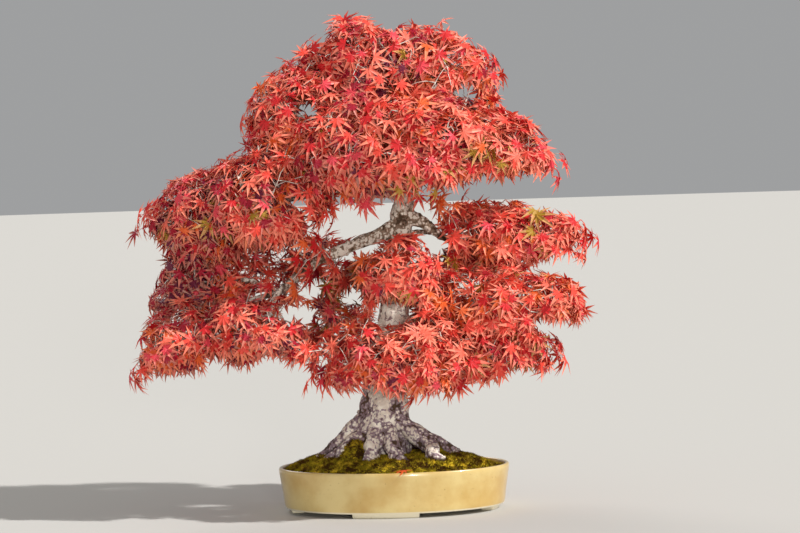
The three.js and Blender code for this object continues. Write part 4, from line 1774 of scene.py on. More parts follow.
# How often each tint comes: everywhere, more to the left, low on the right, inside, under the fork, and in
# the purple patches on the left. The darker reds on the left, inside, under the fork and in the purple
# patches are painted shade.
TINT_WEIGHTS = {
    Tint.CORAL: (0.42, -0.12, 0.0, -0.22, -0.4, -0.7),
    Tint.SALMON: (0.15, -0.08, -0.09, -0.14, -0.16, -0.2),
    Tint.SCARLET: (0.25, 0.05, 0.06, 0.1, -0.1, -0.3),
    Tint.CRIMSON: (0.03, 0.14, -0.12, 0.24, 0.0, 0.6),
    Tint.MAROON: (0.0, 0.03, -0.15, 0.18, 0.25, 1.1),
    Tint.ORANGE: (0.05, 0.0, 0.12, 0.1, 0.1, -0.1),
    Tint.AMBER: (0.0, -0.02, 0.02, 0.11, 0.35, 0.0),
    Tint.ROSE: (0.09, 0.03, 0.0, -0.08, -0.1, 0.0),
}


@dataclass(frozen=True)
class Region:
    """A round region of the crown.

    Attributes:
        at: its middle.
        reach: how far it reaches.
    """

    at: Triple
    reach: float

    def nearness(self, place: Array) -> float:
        """How near a place is to its middle: 1 there, 0 at its reach."""
        return max(0.0, 1 - float(np.linalg.norm(place - self.at)) / self.reach)


# Where sprays take darker reds as painted shade: the middle under the fork, and purple patches on the left
SHADED_MIDDLE = Region((-70, 110, 345), 120)
PURPLE_SHADE_PATCHES = (
    Region((-240, -40, 522), 60),
    Region((-325, -30, 405), 62),
    Region((-312, 0, 352), 85),
    Region((-318, 10, 330), 70),
)


@dataclass
class LeafSpot:
    """Where one leaf is.

    Attributes:
        place: where its stalk starts.
        axes: the axes of its form, as columns.
        size: its size, as a share of its form's.
        form: the number of its form.
        tint: the number of its tint.
    """

    place: Array
    axes: Array
    size: float
    form: int
    tint: int


@dataclass
class Foliage:
    """One mass of foliage, grown by the solid model's rule and carried to finer twigs.

    Attributes:
        name: the mass.
        limb: the limb that carries it.
        finder: finds the limbs that its leaves keep clear of.
        crown: how far the whole foliage reaches.
        shallowest: the crown's fullness at the furthest tip of a leaf.
        buried: how deep in another mass's space a twig's tip counts as hidden, and is left out.
        tries: how often a leaf is tried until it fits, in the crown and in a hanging spray.
        hang_out: the loss of fullness that the furthest tips may have.
        underside: below this height of its direction, a twig belongs to the underside.
        bare_below: the share of those twigs that is left out.
        joint_shares: where on a twig finer ones can grow, as shares of its length.
        stem_radii: the stem's radius at its foot and at its tip.
        stem_sunk: how far the stem's foot is sunk into its limb.
        stem_bend: where the stem starts to bend, as a share of its way to the middle of the space.
        stem_past: how far past the middle of the space the stem goes, as a share of its way there.
        stem_spacing: the distance between two of the stem's points.
        stem_joints: how many places on the stem twigs can grow from.
        turn_cost: how much further than it is a joint counts that points to the side, as a share.
        stray: how far a twig's direction strays.
        top_room: how much less of that room the topmost twigs leave, as a share.
        top_reach: how much further out the topmost twigs end, as a share of the space's reach.
        least_reach: the least that a twig reaches out, as a share of the crown's own reach there.
        arch: how high a twig arches at least and at most, as a share of its length.
        crook: how far its middle strays, as a share of its length.
        kink: how far its other points stray.
        slimming: a twig's radius at its foot, as a share of what it grows from.
        twig_spacing: the distance between two of a twig's points.
        fans: how far the leaves at a twig's tip spread to the sides, in degrees.
        full_fans: the share of twigs with the fullest fan.
        side_fan: how far the leaves in the middle of a long twig spread, in degrees.
        side_mark: where those leaves grow, as a share of the twig's length.
        long_twig: the length from which a twig has them.
        leaf_sizes: the smallest and the largest leaf, as shares of its form's size.
        spin: how far a leaf strays from its place in the fan, in degrees.
        probes: where on a leaf's middle lobe its blade and its tip are tested, as shares of its length.
        clearance: how clear of the limbs a twig's tip, a leaf's blade and a leaf's tip keep.
        twigs: the twigs.
        leaves: the leaves.
    """

    name: str
    limb: Limb
    finder: LimbFinder
    crown: FoliageReach = FoliageReach()
    shallowest: float = 0.97
    buried: float = 0.62
    tries: tuple[int, int] = (3, 12)
    hang_out: float = 0.7
    underside: float = -0.45
    bare_below: float = 0.55
    joint_shares: tuple[float, ...] = (0.35, 0.6, 0.85)
    stem_radii: Pair = (2.6, 1.8)
    stem_sunk: float = 3
    stem_bend: float = 0.4
    stem_past: float = 0.35
    stem_spacing: float = 7.0
    stem_joints: int = 12
    turn_cost: float = 0.45
    stray: float = 0.12
    top_room: float = 0.8
    top_reach: float = 0.14
    least_reach: float = 0.15
    arch: Pair = (0.04, 0.12)
    crook: float = 0.05
    kink: float = 0.6
    slimming: float = 0.85
    twig_spacing: float = 14
    fans: tuple[tuple[float, ...], ...] = ((-46, 46), (-62, 0, 62))
    full_fans: float = 0.55
    side_fan: tuple[float, ...] = (-88, 88)
    side_mark: float = 0.6
    long_twig: float = 36
    leaf_sizes: Pair = (0.78, 1.22)
    spin: float = 32
    probes: Pair = (0.4, 0.95)
    clearance: Triple = (6, 8, 2)
    twigs: list[Tube] = field(default_factory=list)
    leaves: list[LeafSpot] = field(default_factory=list)

    def __post_init__(self) -> None:
        """Grows the stem, then each order of twigs with its leaves."""
        self.space = MASSES[self.name]
        self.rng = np.random.default_rng(FOLIAGE_SEED + list(MASSES).index(self.name))
        self.joints = np.empty((0, 7))
        stem = self._grow_stem()
        outbound = unit(self.space.middle - stem.places[0])
        for order in TWIG_ORDERS:
            for direction in spread(round(self.space.surface / order.surface), outbound):
                if direction[2] > self.underside or self.rng.random() > self.bare_below:
                    self._grow_towards(direction, order)
        for tip in HANGING_SPRAYS.get(self.name, ()):
            self._grow_hanging(np.array(tip, float))

    def _grow_stem(self) -> Tube:
        """The stem: it carries on from its limb's tip, past the middle of the space."""
        foot, heading = self.limb.line.at(1.0), self.limb.line.heading(1.0)
        middle = self.space.middle
        bend = foot + heading * float(np.linalg.norm(middle - foot)) * self.stem_bend
        far = middle + (foot - middle) * -self.stem_past
        places = (foot - heading * self.stem_sunk, bend, middle, far)
        radii = np.linspace(*self.stem_radii, len(places))
        stations = [(*place, radius) for place, radius in zip(places, radii)]
        stem = Limb(stations, len(places)).tube(self.stem_spacing)
        self.twigs.append(stem)
        self._keep_joints(stem, [k / self.stem_joints for k in range(1, self.stem_joints + 1)])
        return stem

    def _keep_joints(self, twig: Tube, shares: Sequence[float]) -> None:
        """Keeps places on a twig where finer ones can grow: place, radius and heading."""
        marks = [round(share * (len(twig.places) - 1)) for share in shares]
        rows = [[*twig.places[k], twig.radii[k], *twig.headings[k]] for k in marks]
        self.joints = np.vstack([self.joints, rows])

    def _grow_towards(self, direction: Array, order: TwigOrder) -> None:
        """Grows one twig with its leaves towards a direction, from the joint that suits it best."""
        direction = unit(direction + self.rng.normal(scale=self.stray, size=3))
        edge = direction * self.space.half * self.crown.edge(self.space, direction)
        reach = float(np.linalg.norm(edge))
        top = max(0.0, direction[2])
        room = self.rng.uniform(*order.room) * (1 - self.top_room * top)
        end = min(self.rng.uniform(*order.ends) + self.top_reach * top, 1 - room / reach)
        tip = self.space.middle + edge * max(end, self.least_reach)
        hidden = self._shows_sky(tip) or self._is_buried(tip)
        if self.finder.is_clear(tip, self.clearance[0]) and not hidden:
            self._grow_leaves(self._add_twig(tip, order), unit(direction / self.space.half), 0.0)

    def _grow_hanging(self, tip: Array) -> None:
        """Grows a spray that hangs out of the crown, or in front of a limb."""
        twig = self._add_twig(tip, TWIG_ORDERS[-1])
        self._grow_leaves(twig, unit((tip - self.space.middle) * [1, 1, 0]), self.hang_out)

    def _add_twig(self, tip: Array, order: TwigOrder) -> Tube:
        """Adds a twig to a tip, from the joint that suits it best."""
        ways = tip - self.joints[:, :3]
        lengths = np.linalg.norm(ways, axis=1)
        turns = np.einsum("ij,ij->i", ways, self.joints[:, 4:]) / np.maximum(lengths, TINY)
        foot = self.joints[int(np.argmin(lengths * (1 + self.turn_cost - self.turn_cost * turns)))]
        twig = self._twig(foot, tip, order)
        self.twigs.append(twig)
        self._keep_joints(twig, self.joint_shares)
        return twig

    def _twig(self, foot: Array, tip: Array, order: TwigOrder) -> Tube:
        """A twig, arched upwards and a little crooked, from a joint to its tip."""
        start = foot[:3]
        length = float(np.linalg.norm(tip - start))
        bend = (start + tip) / 2 + UP * length * self.rng.uniform(*self.arch)
        bend = bend + self.rng.normal(scale=self.crook * length, size=3)
        count = max(3, math.ceil(length / self.twig_spacing) + 1)
        shares = np.linspace(0, 1, count)[:, None]
        places = (1 - shares) ** 2 * start + 2 * shares * (1 - shares) * bend + shares**2 * tip
        places[1:-1] += self.rng.normal(scale=self.kink, size=(count - 2, 3))
        radii = np.linspace(min(foot[3] * self.slimming, order.radius), order.tip, count)
        return Tube(places, radii)

    def _grow_leaves(self, twig: Tube, outward: Array, excess: float) -> None:
        """A spray of leaves at the end of a twig, all in one tint.

        Args:
            twig: the twig.
            outward: the direction in which the foliage ends.
            excess: how far its leaves may hang out of the crown, as a loss of fullness.
        """
        tint = self._tint(twig.places[-1])
        last = len(twig.places) - 1
        tip_fan = self.fans[int(self.rng.random() < self.full_fans)]
        fans = [(last, tip_fan)]
        if float(np.linalg.norm(twig.places[-1] - twig.places[0])) > self.long_twig:
            fans.append((round(self.side_mark * last), self.side_fan))
        tries = self.tries[int(excess > 0)]
        headings = twig.headings
        for mark, fan in fans:
            for spin in fan:
                for _ in range(tries):
                    spot = self._leaf_spot(twig.places[mark], headings[mark], outward, spin, tint)
                    if self._fits(spot, excess):
                        self.leaves.append(spot)
                        break

    def _leaf_spot(self, place: Array, along: Array, outward: Array, spin: float, tint: int) -> LeafSpot:
        """A leaf that faces outwards and up, and spreads from its twig to the side that spin says."""
        rng = self.rng
        sway_at_side, sway_on_top, fall_at_side, fall_on_top = 0.55, 0.75, 0.5, 0.9
        rise, follow, stray, half_up = 0.45, 0.45, 0.4, 0.5
        top = max(0.0, outward[2])
        sway = np.array([*rng.uniform(-1, 1, 2), 0.0]) * (sway_at_side + sway_on_top * top)
        face = unit(outward * [1, 1, half_up * float(outward[2] > 0)] + rise * UP + sway)
        fall = fall_at_side - fall_on_top * top
        aside = np.array([*rng.uniform(-stray, stray, 2), 0.0])
        hang = outward - fall * UP + follow * along + aside
        middle = square_to(hang, face)
        turn = math.radians(spin + rng.uniform(-self.spin, self.spin))
        ahead = middle * math.cos(turn) + np.cross(face, middle) * math.sin(turn)
        axes = np.column_stack([np.cross(ahead, face), ahead, face])
        size = rng.uniform(*self.leaf_sizes)
        return LeafSpot(place, axes, size, int(rng.integers(len(LEAF_FORMS))), tint)

    def _fits(self, spot: LeafSpot, excess: float) -> bool:
        """Whether a leaf keeps to its space, clear of the limbs and out of the sky's openings."""
        form = LEAF_FORMS[spot.form]
        blade, tip = (spot.place + spot.axes @ form.along(share) * spot.size for share in self.probes)
        return (
            self.crown.fullness(tip) > self.shallowest - excess
            and self.finder.is_clear(blade, self.clearance[1])
            and self.finder.is_clear(tip, self.clearance[2])
            and not self._shows_sky(blade)
        )

    def _is_buried(self, point: Array) -> bool:
        """Whether a point lies deep inside another mass's space."""
        others = (space for space in MASSES.values() if space is not self.space)
        return any(space.outness(point) < self.buried for space in others)

    def _shows_sky(self, point: Array) -> bool:
        """Whether a point covers one of the crown's openings, seen from the front."""
        x, z = VIEWPOINT.seen_at(point)
        return any(gap.holds(x, z) for gap in SKY_GAPS)

    def _tint(self, place: Array) -> int:
        """The tint of a spray: darker reds on the left, inside, under the fork and in the purple patches as
        painted shade; oranges low on the right, ambers under the fork.
        """
        left_end, right_end, top, height, skin, core = 330, 250, 620, 350, 1.6, 2
        left = clamped(-place[0] / left_end)
        right = clamped(place[0] / right_end) * clamped((top - place[2]) / height)
        inside = clamped((self.crown.fullness(place) - skin) / core)
        shaded = SHADED_MIDDLE.nearness(place)
        purple = max(patch.nearness(place) for patch in PURPLE_SHADE_PATCHES)
        shares = np.array([1, left, right, inside, shaded, purple])
        weights = np.maximum(np.array(list(TINT_WEIGHTS.values())) @ shares, 0)
        return int(self.rng.choice(len(weights), p=weights / weights.sum()))


@dataclass
class Foliages:
    """All the masses of foliage, as pieces of leaves and of twigs.

    Attributes:
        skeleton: the limbs.
        finder: finds the limbs that the leaves keep clear of.
        space: turns the tree's millimetres into the model's metres.
        fading: how far the ends of the lobes fade to pink, a painted highlight, from 0 to 1.
        twig_sides: the sides of a twig.
        masses: the masses.
    """

    skeleton: Skeleton
    finder: LimbFinder
    space: TreeFrame
    fading: float = 0.34
    twig_sides: int = 5
    masses: list[Foliage] = field(init=False)

    def __post_init__(self) -> None:
        """Grows every mass."""
        self.masses = [Foliage(name, self.skeleton.limb(name), self.finder) for name in MASSES]

    def build_twigs(self) -> Object:
        """Builds all twigs as one piece."""
        twigs = [twig for mass in self.masses for twig in mass.twigs]
        places = np.vstack([twig.places for twig in twigs])
        edges, start = [], 0
        for twig in twigs:
            edges += [(start + k, start + k + 1) for k in range(len(twig.places) - 1)]
            start += len(twig.places)
        mesh = bpy.data.meshes.new("twig_lines")
        mesh.from_pydata(self.space.place(places).tolist(), edges, [])
        keep_number(mesh, "thickness", np.concatenate([twig.radii for twig in twigs]) * MM)
        source = add_object("twig_lines", mesh)
        twig_tree().put_on(source, Sides=self.twig_sides, Bark=TwigFinish().make())
        return finished(source, "twigs")

    def build_leaves(self) -> Iterator[tuple[str, Object]]:
        """Builds the leaves of each mass as a piece.

        Yields:
            The mass's name and its piece.
        """
        forms = bpy.data.collections.new("leaf_forms")
        for index, form in enumerate(LEAF_FORMS):
            made = form.build(f"leaf_form_{index}")
            bpy.context.scene.collection.objects.unlink(made)
            forms.objects.link(made)
        tree = leaf_tree()
        tints = {f"{tint.name.lower()}_blade": LeafFinish(tint).make() for tint in Tint}
        # The ends' finishes fade towards pale pink: a painted highlight
        tints |= {f"{tint.name.lower()}_ends": LeafFinish(tint, self.fading).make() for tint in Tint}
        for mass in self.masses:
            source = add_object("leaf_points", self._points(mass.leaves))
            tree.put_on(source, Leaf_forms=forms, **tints)
            yield mass.name, finished(source, f"leaves_{mass.name}")
        for made in list(forms.objects):
            bpy.data.objects.remove(made)
        bpy.data.collections.remove(forms)

    def _points(self, leaves: Sequence[LeafSpot]) -> Mesh:
        """One point for each leaf, with its turn, size, form and tint."""
        mesh = bpy.data.meshes.new("leaf_points")
        places = self.space.place(np.array([leaf.place for leaf in leaves]))
        mesh.from_pydata(places.tolist(), [], [])
        turns = [Matrix((self.space.turn @ leaf.axes).tolist()).to_euler("XYZ") for leaf in leaves]
        keep_number(mesh, "turn", np.array([tuple(turn) for turn in turns]), "FLOAT_VECTOR")
        keep_number(mesh, "size", np.array([leaf.size for leaf in leaves]))
        keep_number(mesh, "form", np.array([leaf.form for leaf in leaves], np.int32), "INT")
        keep_number(mesh, "tint", np.array([leaf.tint for leaf in leaves], np.int32), "INT")
        return mesh


# Pot and ground


def oval(radius: float, angle: float, height: float) -> Triple:
    """A point of the pot's oval, whose radius is measured along the pot."""
    return radius * math.cos(angle), radius * math.sin(angle) * NARROW, height


def oval_radius(point: Array) -> float:
    """The radius, measured along the pot, of the oval that a point lies on."""
    return math.hypot(point[0], point[1] * POT_LENGTH / POT_DEPTH)


def turned(profile: Sequence[Pair], segments: int) -> Shape:
    """A closed solid of revolution, drawn out into the pot's oval.

    Args:
        profile: radius and height, from the axis and back to it.
        segments: how many segments go round.

    Returns:
        The shape.
    """
    shape = Shape()
    rings = [point for point in profile if point[0] > 0]
    angles = [2 * math.pi * k / segments for k in range(segments)]
    vertices = [oval(radius, angle, height) for radius, height in rings for angle in angles]
    faces = ring_faces(len(rings), segments)
    count = len(vertices)
    vertices += [(0, 0, profile[0][1]), (0, 0, profile[-1][1])]
    last = count - segments
    for k in range(segments):
        faces.append((count, (k + 1) % segments, k))
        faces.append((count + 1, last + k, last + (k + 1) % segments))
    shape.add(np.array(vertices, float), faces)
    return shape


def rounded(profile: Sequence[Pair], steps: int) -> list[Pair]:
    """A profile with smooth stretches in place of its corners.

    Args:
        profile: the corners, whose first and last points stay.
        steps: how many steps replace each stretch.

    Returns:
        The smooth profile.
    """
    line = SmoothLine([(radius, 0.0, height) for radius, height in profile])
    places = [line.at(share) for share in np.linspace(0, 1, line.spans * steps + 1)]
    return [(float(place[0]), float(place[2])) for place in places]


@dataclass
class Pot:
    """The oval pot with its lip, four feet and two drain holes.

    Attributes:
        space: turns the pot's millimetres into the model's metres.
        segments: how many segments go round.
        foot_height: how high the feet lift the bowl.
        foot_ring: the feet's inner and outer radius, along the pot.
        foot_flare: how much wider and higher the feet's tops are, inside the bowl.
        foot_steps: how many steps a foot is curved in.
        front_foot: the width of the front and back feet.
        end_foot: the width of the feet at the ends.
        floor: the height of the pot's inner floor.
        drain: radius of the drain holes, and how far they are from the middle.
        edge: how far the feet's edges are eased, in metres.
        crease: the angle from which an edge stays sharp, in degrees.
    """

    space: TreeFrame
    segments: int = 192
    foot_height: float = 7.0
    foot_ring: Pair = (140.0, 158.0)
    foot_flare: Pair = (3, 2)
    foot_steps: int = 16
    front_foot: float = 100.0
    end_foot: float = 66.0
    floor: float = 16.0
    drain: Pair = (12.0, 72.0)
    edge: float = 0.0012
    crease: float = 50

    def build(self) -> Object:
        """Builds the pot."""
        half = POT_LENGTH / 2
        wall = [
            (half - 10, self.foot_height),
            (half - 8.4, self.foot_height + 2.4),
            (half - 5.4, self.foot_height + 22),
            (half - 1.8, POT_HEIGHT - 16),
            (half, POT_HEIGHT - 4),
            (half - 1, POT_HEIGHT - 0.8),
            (half - 3, POT_HEIGHT),
            (half - 5.6, POT_HEIGHT - 0.8),
            (half - 6.6, POT_HEIGHT - 4),
            (half - 8.5, POT_HEIGHT - 20),
            (half - 14, self.floor + 6),
            (half - 22, self.floor),
        ]
        bottom = [(0, self.foot_height), (half - 12.5, self.foot_height)]
        shape = turned([*bottom, *rounded(wall, 5), (0, self.floor)], self.segments)
        bowl = add_object("bowl", shape.mesh("bowl", self.space.place_pot))
        self._combine(bowl, self._drills(), "DIFFERENCE")
        for foot in self._feet():
            self._combine(bowl, foot, "UNION")
        piece = finished(bowl, "glazed_pot")
        shade_smooth(piece.data)
        piece.data.set_sharp_from_angle(angle=math.radians(self.crease))
        return piece

    def _drills(self) -> Object:
        """The two rods that cut the drain holes."""
        radius, offset = self.drain
        shape = Shape()
        for side in (-1, 1):
            line = np.array([[side * offset, 0, 0], [side * offset, 0, self.floor * 2]], float)
            shape.add_tube(Tube(line, np.full(2, radius)), 48)
        return add_object("drills", shape.mesh("drills", self.space.place_pot))

    def _combine(self, bowl: Object, other: Object, operation: str) -> None:
        """Applies one boolean to the bowl and removes the other solid."""
        modifier = bowl.modifiers.new("cut", "BOOLEAN")
        modifier.object = other
        modifier.operation = operation
        modifier.solver = "EXACT"
        evaluated = bowl.evaluated_get(bpy.context.evaluated_depsgraph_get())
        mesh = bpy.data.meshes.new_from_object(evaluated)
        bowl.modifiers.remove(modifier)
        bowl.data = mesh
        bpy.data.objects.remove(other)

    def _feet(self) -> Iterator[Object]:
        """The four feet, each a curved block with eased edges."""
        inner, outer = self.foot_ring
        wider, higher = self.foot_flare
        top = self.foot_height + higher
        section = [(inner, 0), (outer, 0), (outer + wider, top), (inner - wider, top)]
        end_radius = outer * NARROW
        for bearing, width, radius in (
            (-90, self.front_foot, outer),
            (90, self.front_foot, outer),
            (0, self.end_foot, end_radius),
            (180, self.end_foot, end_radius),
        ):
            yield self._block(bearing, math.degrees(math.asin(width / 2 / radius)), section)

    def _block(self, bearing: float, sweep: float, section: Sequence[Pair]) -> Object:
        """A block that follows the oval, with eased edges.

        Args:
            bearing: where its middle is, in degrees.
            sweep: how far it reaches to both sides, in degrees.
            section: the radius and height of its corners.

        Returns:
            The block.
        """
        angles = np.radians(np.linspace(bearing - sweep, bearing + sweep, self.foot_steps + 1))
        vertices = [oval(radius, angle, height) for angle in angles for radius, height in section]
        sides, count = len(section), len(vertices)
        faces = [tuple(reversed(range(sides))), tuple(range(count - sides, count))]
        shape = Shape()
        shape.add(np.array(vertices), [*faces, *ring_faces(len(angles), sides)])
        foot = add_object("foot", shape.mesh("foot", self.space.place_pot))
        with edited(foot.data) as body:
            bmesh.ops.recalc_face_normals(body, faces=body.faces)
        bevel = foot.modifiers.new("edge", "BEVEL")
        bevel.width = self.edge
        bevel.segments = 3
        bevel.limit_method = "ANGLE"
        return finished(foot, "foot")


@dataclass
class Ground:
    """Soil and moss: a mound with cushions and tufts.

    Attributes:
        space: turns the pot's millimetres into the model's metres.
        segments: how many segments go round.
        soil_edge: the height of the soil at the pot's wall.
        floor: the height of the pot's inner floor.
        clear: how clear the soil is of the pot.
        cushion: the size of a cushion of moss.
        height: how high a cushion stands.
        bare_rim: how wide the rim is from which the moss rises.
        tufts: how many tufts stand on a square metre.
        tuft_height: how tall a tuft is.
        tuft_sizes: the smallest and the largest tuft, as shares of that.
        tuft_blades: how many blades a tuft has.
        dip: where the right side starts to fall and ends, and how far it falls.
        pads: where moss climbs up between two roots: x, y, radius and height.
        seed: for the tufts.
    """

    space: TreeFrame
    segments: int = 320
    soil_edge: float = 63.0
    floor: float = 16.0
    clear: float = 0.3
    cushion: float = 13.0
    height: float = 3.4
    bare_rim: float = 9
    tufts: float = 130000.0
    tuft_height: float = 4.2
    tuft_sizes: Pair = (0.7, 1.3)
    tuft_blades: int = 4
    dip: Triple = (40, 125, 5)
    pads: tuple[tuple[float, float, float, float], ...] = ((-56, -40, 24, 26), (58, -18, 22, 12))
    seed: int = 3

    def build(self) -> Object:
        """Builds the mound."""
        half = POT_LENGTH / 2 - self.clear * (POT_LENGTH / POT_DEPTH)
        level = GROUND - self.clear
        top = [
            (half - 9.4, self.soil_edge - 1),
            (half - 13, self.soil_edge + 2),
            (half - 22, self.soil_edge + 7),
            (half - 38, GROUND - 8),
            (PLATEAU - 14, GROUND - 1.6),
            (80, level),
            (40, level),
            (4, level),
        ]
        wall = [
            (0, self.floor + self.clear),
            (half - 22.4, self.floor + self.clear),
            (half - 14.6, self.floor + 6.4),
            (half - 9, POT_HEIGHT - 20),
            (half - 7.6, self.soil_edge - 3),
        ]
        shape = turned([*wall, *rounded(top, 12), (0, level)], self.segments)
        piece = add_object("moss", shape.mesh("moss", self.space.place_pot))
        self._raise_cushions(piece.data, half)
        shade_smooth(piece.data)
        piece.data.materials.append(MossFinish().make())
        return piece

    def _raise_cushions(self, mesh: Mesh, half: float) -> None:
        """Raises the cushions on the mound's upper side, and keeps where moss grows."""
        places = vertices_of(mesh)
        growth = np.zeros(len(places))
        for k, point in enumerate(self.space.back(places)):
            if point[2] >= self.soil_edge:
                inland = clamped((half - self.bare_rim - oval_radius(point)) / self.bare_rim)
                places[k][2] += inland * self._lift(point) * MM
                growth[k] = float(inland > 0.1)
        move_vertices(mesh, places)
        keep_number(mesh, "growth", growth)

    def _lift(self, point: Array) -> float:
        """How far the moss rises over the level soil at a point."""
        edge, broad_size, fine_size = 0.75, 34, 3.1
        flat = Vector((point[0], point[1], 0))
        dome = domed(noise.voronoi(flat / self.cushion)[0][0], edge)
        broad, fine = noise.noise(flat / broad_size), noise.noise(flat / fine_size)
        lift = self.height * (0.7 * dome + 0.8 * broad + 0.12 * fine - 0.25)
        start, end, fall = self.dip
        lift -= fall * clamped((point[0] - start) / (end - start))
        for x, y, radius, height in self.pads:
            lift += height * max(0.0, 1 - ((point[0] - x) ** 2 + (point[1] - y) ** 2) / radius**2)
        return lift

    def build_tufts(self, mound: Object) -> Object:
        """Scatters tufts over the mound, as one piece."""
        lean_most, apart, sunk, blade_radius, heights = 0.7, 1.0, 0.5, 0.55, (0.6, 1.0)
        rng = np.random.default_rng(self.seed)
        shape = Shape()
        for _ in range(self.tuft_blades):
            lean = np.array([*rng.uniform(-lean_most, lean_most, 2), 1.0]) * self.tuft_height
            lean = lean * rng.uniform(*heights)
            foot = np.array([*rng.uniform(-apart, apart, 2), -sunk])
            turn = rng.uniform(0, 2 * math.pi)
            corners = [(math.cos(turn + bearing), math.sin(turn + bearing), 0) for bearing in (0, 2.1, 4.2)]
            base = [foot + blade_radius * np.array(corner) for corner in corners]
            shape.add(np.array([*base, foot + lean]), [(2, 1, 0), (0, 1, 3), (1, 2, 3), (2, 0, 3)])
        tuft = add_object("tuft", shape.mesh("tuft", lambda points: points * MM))
        bare = add_object("bare_mound", mound.data.copy())
        least, greatest = self.tuft_sizes
        tuft_tree().put_on(
            bare,
            Tufts_per_square_metre=self.tufts,
            Least_size=least,
            Greatest_size=greatest,
            Seed=self.seed,
            Tuft=tuft,
            Moss=MossFinish("moss_tuft", green=0xA08E20, yellow=0xE0BE38, brown=0x523614).make(),
        )
        piece = finished(bare, "moss_tufts")
        bpy.data.objects.remove(tuft)
        return piece


@dataclass
class FallenLeaf:
    """The leaf that has fallen on the moss.

    Attributes:
        space: turns the tree's millimetres into the model's metres.
        form: its form.
        tint: its tint.
        at: where it lies, across and back.
        turn: how it lies, in radians.
        size: its size, as a share of its form's.
        drop: the height that it falls from to the moss.
        lift: how far its stalk's start stands off the moss, in metres.
    """

    space: TreeFrame
    form: LeafForm = LEAF_FORMS[2]
    tint: Tint = Tint.ORANGE
    at: Pair = (27, -114)
    turn: Triple = (math.radians(4), math.radians(-6), 2.1)
    size: float = 0.8
    drop: float = 300
    lift: float = 0.002

    def build(self, mound: Object) -> Object:
        """Lays the leaf on the mound."""
        leaf = self.form.build("fallen_leaves")
        above = Vector(self.space.place(np.array([*self.at, self.drop])))
        _, where, normal, _ = mound.ray_cast(above, Vector((0, 0, -1)))
        turn = Euler(self.turn).to_matrix().to_4x4()
        seat = Matrix.Translation(where + normal * self.lift)
        leaf.data.transform(seat @ turn @ Matrix.Scale(self.size, 4))
        leaf.data.materials.append(LeafFinish(self.tint).make())
        return leaf


# Stage


@dataclass(frozen=True)
class Sun:
    """A light from far away.

    Attributes:
        name: its name.
        bearing: degrees to the right of the camera that it shines from.
        height: degrees above the floor that it shines from.
        strength: its strength, in watts per square metre.
        breadth: how broad it is, in degrees, which softens its shadows.
    """

    name: str
    bearing: float
    height: float
    strength: float
    breadth: float

    def build(self) -> None:
        """Adds the light."""
        light = bpy.data.lights.new(self.name, "SUN")
        light.energy = self.strength
        light.angle = math.radians(self.breadth)
        lamp = bpy.data.objects.new(self.name, light)
        lamp.rotation_euler = (math.radians(90 - self.height), 0.0, TREE_TURN + math.radians(self.bearing))
        bpy.context.scene.collection.objects.link(lamp)


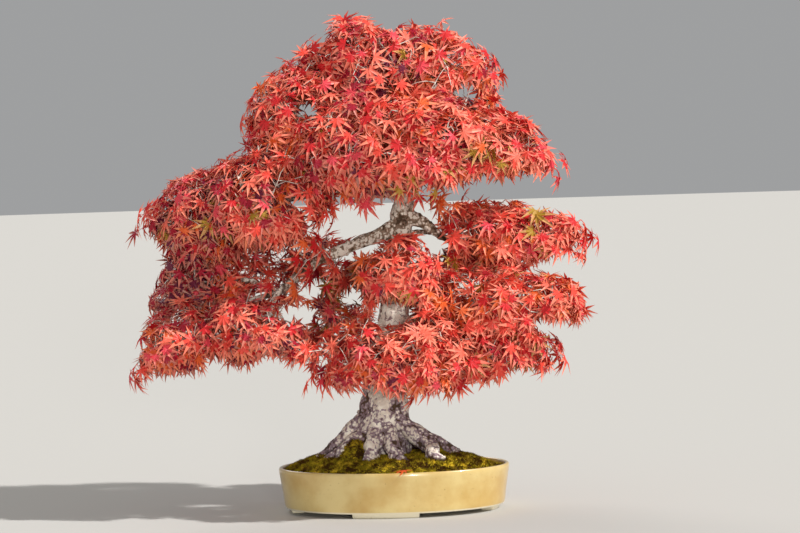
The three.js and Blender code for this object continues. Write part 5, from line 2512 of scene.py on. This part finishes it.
@dataclass
class Stage:
    """The pale floor, the soft lights and the camera.

    Attributes:
        space: turns the tree's millimetres into the model's metres.
        floor_radius: the floor's radius, in metres.
        floor_sides: the floor's sides.
        suns: a key light at the right, a low one that fills in from the front, and a weak one from behind.
        sky: the sky's colour.
        sky_strength: the sky's strength.
        sensor: the width of the camera's sensor, in millimetres.
        sight: how far the camera sees, in metres.
    """

    space: TreeFrame
    floor_radius: float = 30.0
    floor_sides: int = 96
    suns: tuple[Sun, ...] = (
        Sun("key", 64, 44, 3.6, 2),
        Sun("low", 8, 5, 1.1, 5),
        Sun("back", 205, 40, 0.8, 30),
    )
    sky: Colour = (0.86, 0.87, 0.88)
    sky_strength: float = 0.4
    sensor: float = 36
    sight: float = 100

    def build(self) -> None:
        """Builds the stage."""
        self._lay_floor()
        for sun in self.suns:
            sun.build()
        self._set_sky()
        self._set_camera()

    def _lay_floor(self) -> None:
        """Lays the floor."""
        shape = Shape()
        angles = [2 * math.pi * k / self.floor_sides for k in range(self.floor_sides)]
        rim = [(self.floor_radius * math.cos(a), self.floor_radius * math.sin(a), 0.0) for a in angles]
        shape.add(np.array(rim), [tuple(range(self.floor_sides))])
        floor = add_object("floor", shape.mesh("floor", lambda points: points))
        floor.data.materials.append(FloorFinish().make())

    def _set_sky(self) -> None:
        """Sets an even sky."""
        world = bpy.data.worlds.new("sky")
        world.use_nodes = True
        background = world.node_tree.nodes["Background"]
        background.inputs["Color"].default_value = (*self.sky, 1)
        background.inputs["Strength"].default_value = self.sky_strength
        bpy.context.scene.world = world

    def _set_camera(self) -> None:
        """Sets the camera where the photograph was taken from."""
        camera = bpy.data.cameras.new("camera")
        camera.lens = VIEWPOINT.lens
        camera.sensor_width = self.sensor
        camera.clip_end = self.sight
        viewer = add_object("camera", camera)
        place = Vector(self.space.place(np.array(VIEWPOINT.place)))
        look = Euler((math.radians(90 - VIEWPOINT.pitch), 0, TREE_TURN)).to_matrix()
        look = look @ Matrix.Rotation(math.radians(-VIEWPOINT.roll), 3, "Z")
        viewer.matrix_world = Matrix.Translation(place) @ look.to_4x4()
        bpy.context.scene.camera = viewer
        bpy.context.scene.view_settings.view_transform = "Standard"


def main() -> None:
    """Builds every piece in order."""
    logging.basicConfig(level=logging.INFO, format="%(message)s")
    space = TreeFrame()
    skeleton = Skeleton()

    bark = Bark(skeleton, space)
    skin = bark.build()
    skin.data.materials.append(BarkFinish().make())
    settle(skin, Slot.BARK, ["trunk", *(f"bough_{name}" for name in BOUGHS)])

    crown = Foliages(skeleton, LimbFinder(bark.tubes), space)
    settle(crown.build_twigs(), Slot.BARK)
    for name, leaves in crown.build_leaves():
        settle(leaves, Slot.LEAF, [f"foliage_{name}"])
    leaf_count = sum(len(mass.leaves) for mass in crown.masses)
    LOG.info("%d leaves on %d twigs", leaf_count, sum(len(mass.twigs) for mass in crown.masses))

    pot = Pot(space).build()
    pot.data.materials.append(GlazeFinish().make())
    settle(pot, Slot.GLAZE, ["pot"])

    ground = Ground(space)
    mound = ground.build()
    tufts = ground.build_tufts(mound)
    settle(mound, Slot.MOSS, ["ground"])
    settle(tufts, Slot.MOSS)
    settle(FallenLeaf(space).build(mound), Slot.LEAF)

    Stage(space).build()


if __name__ == "__main__":
    main()
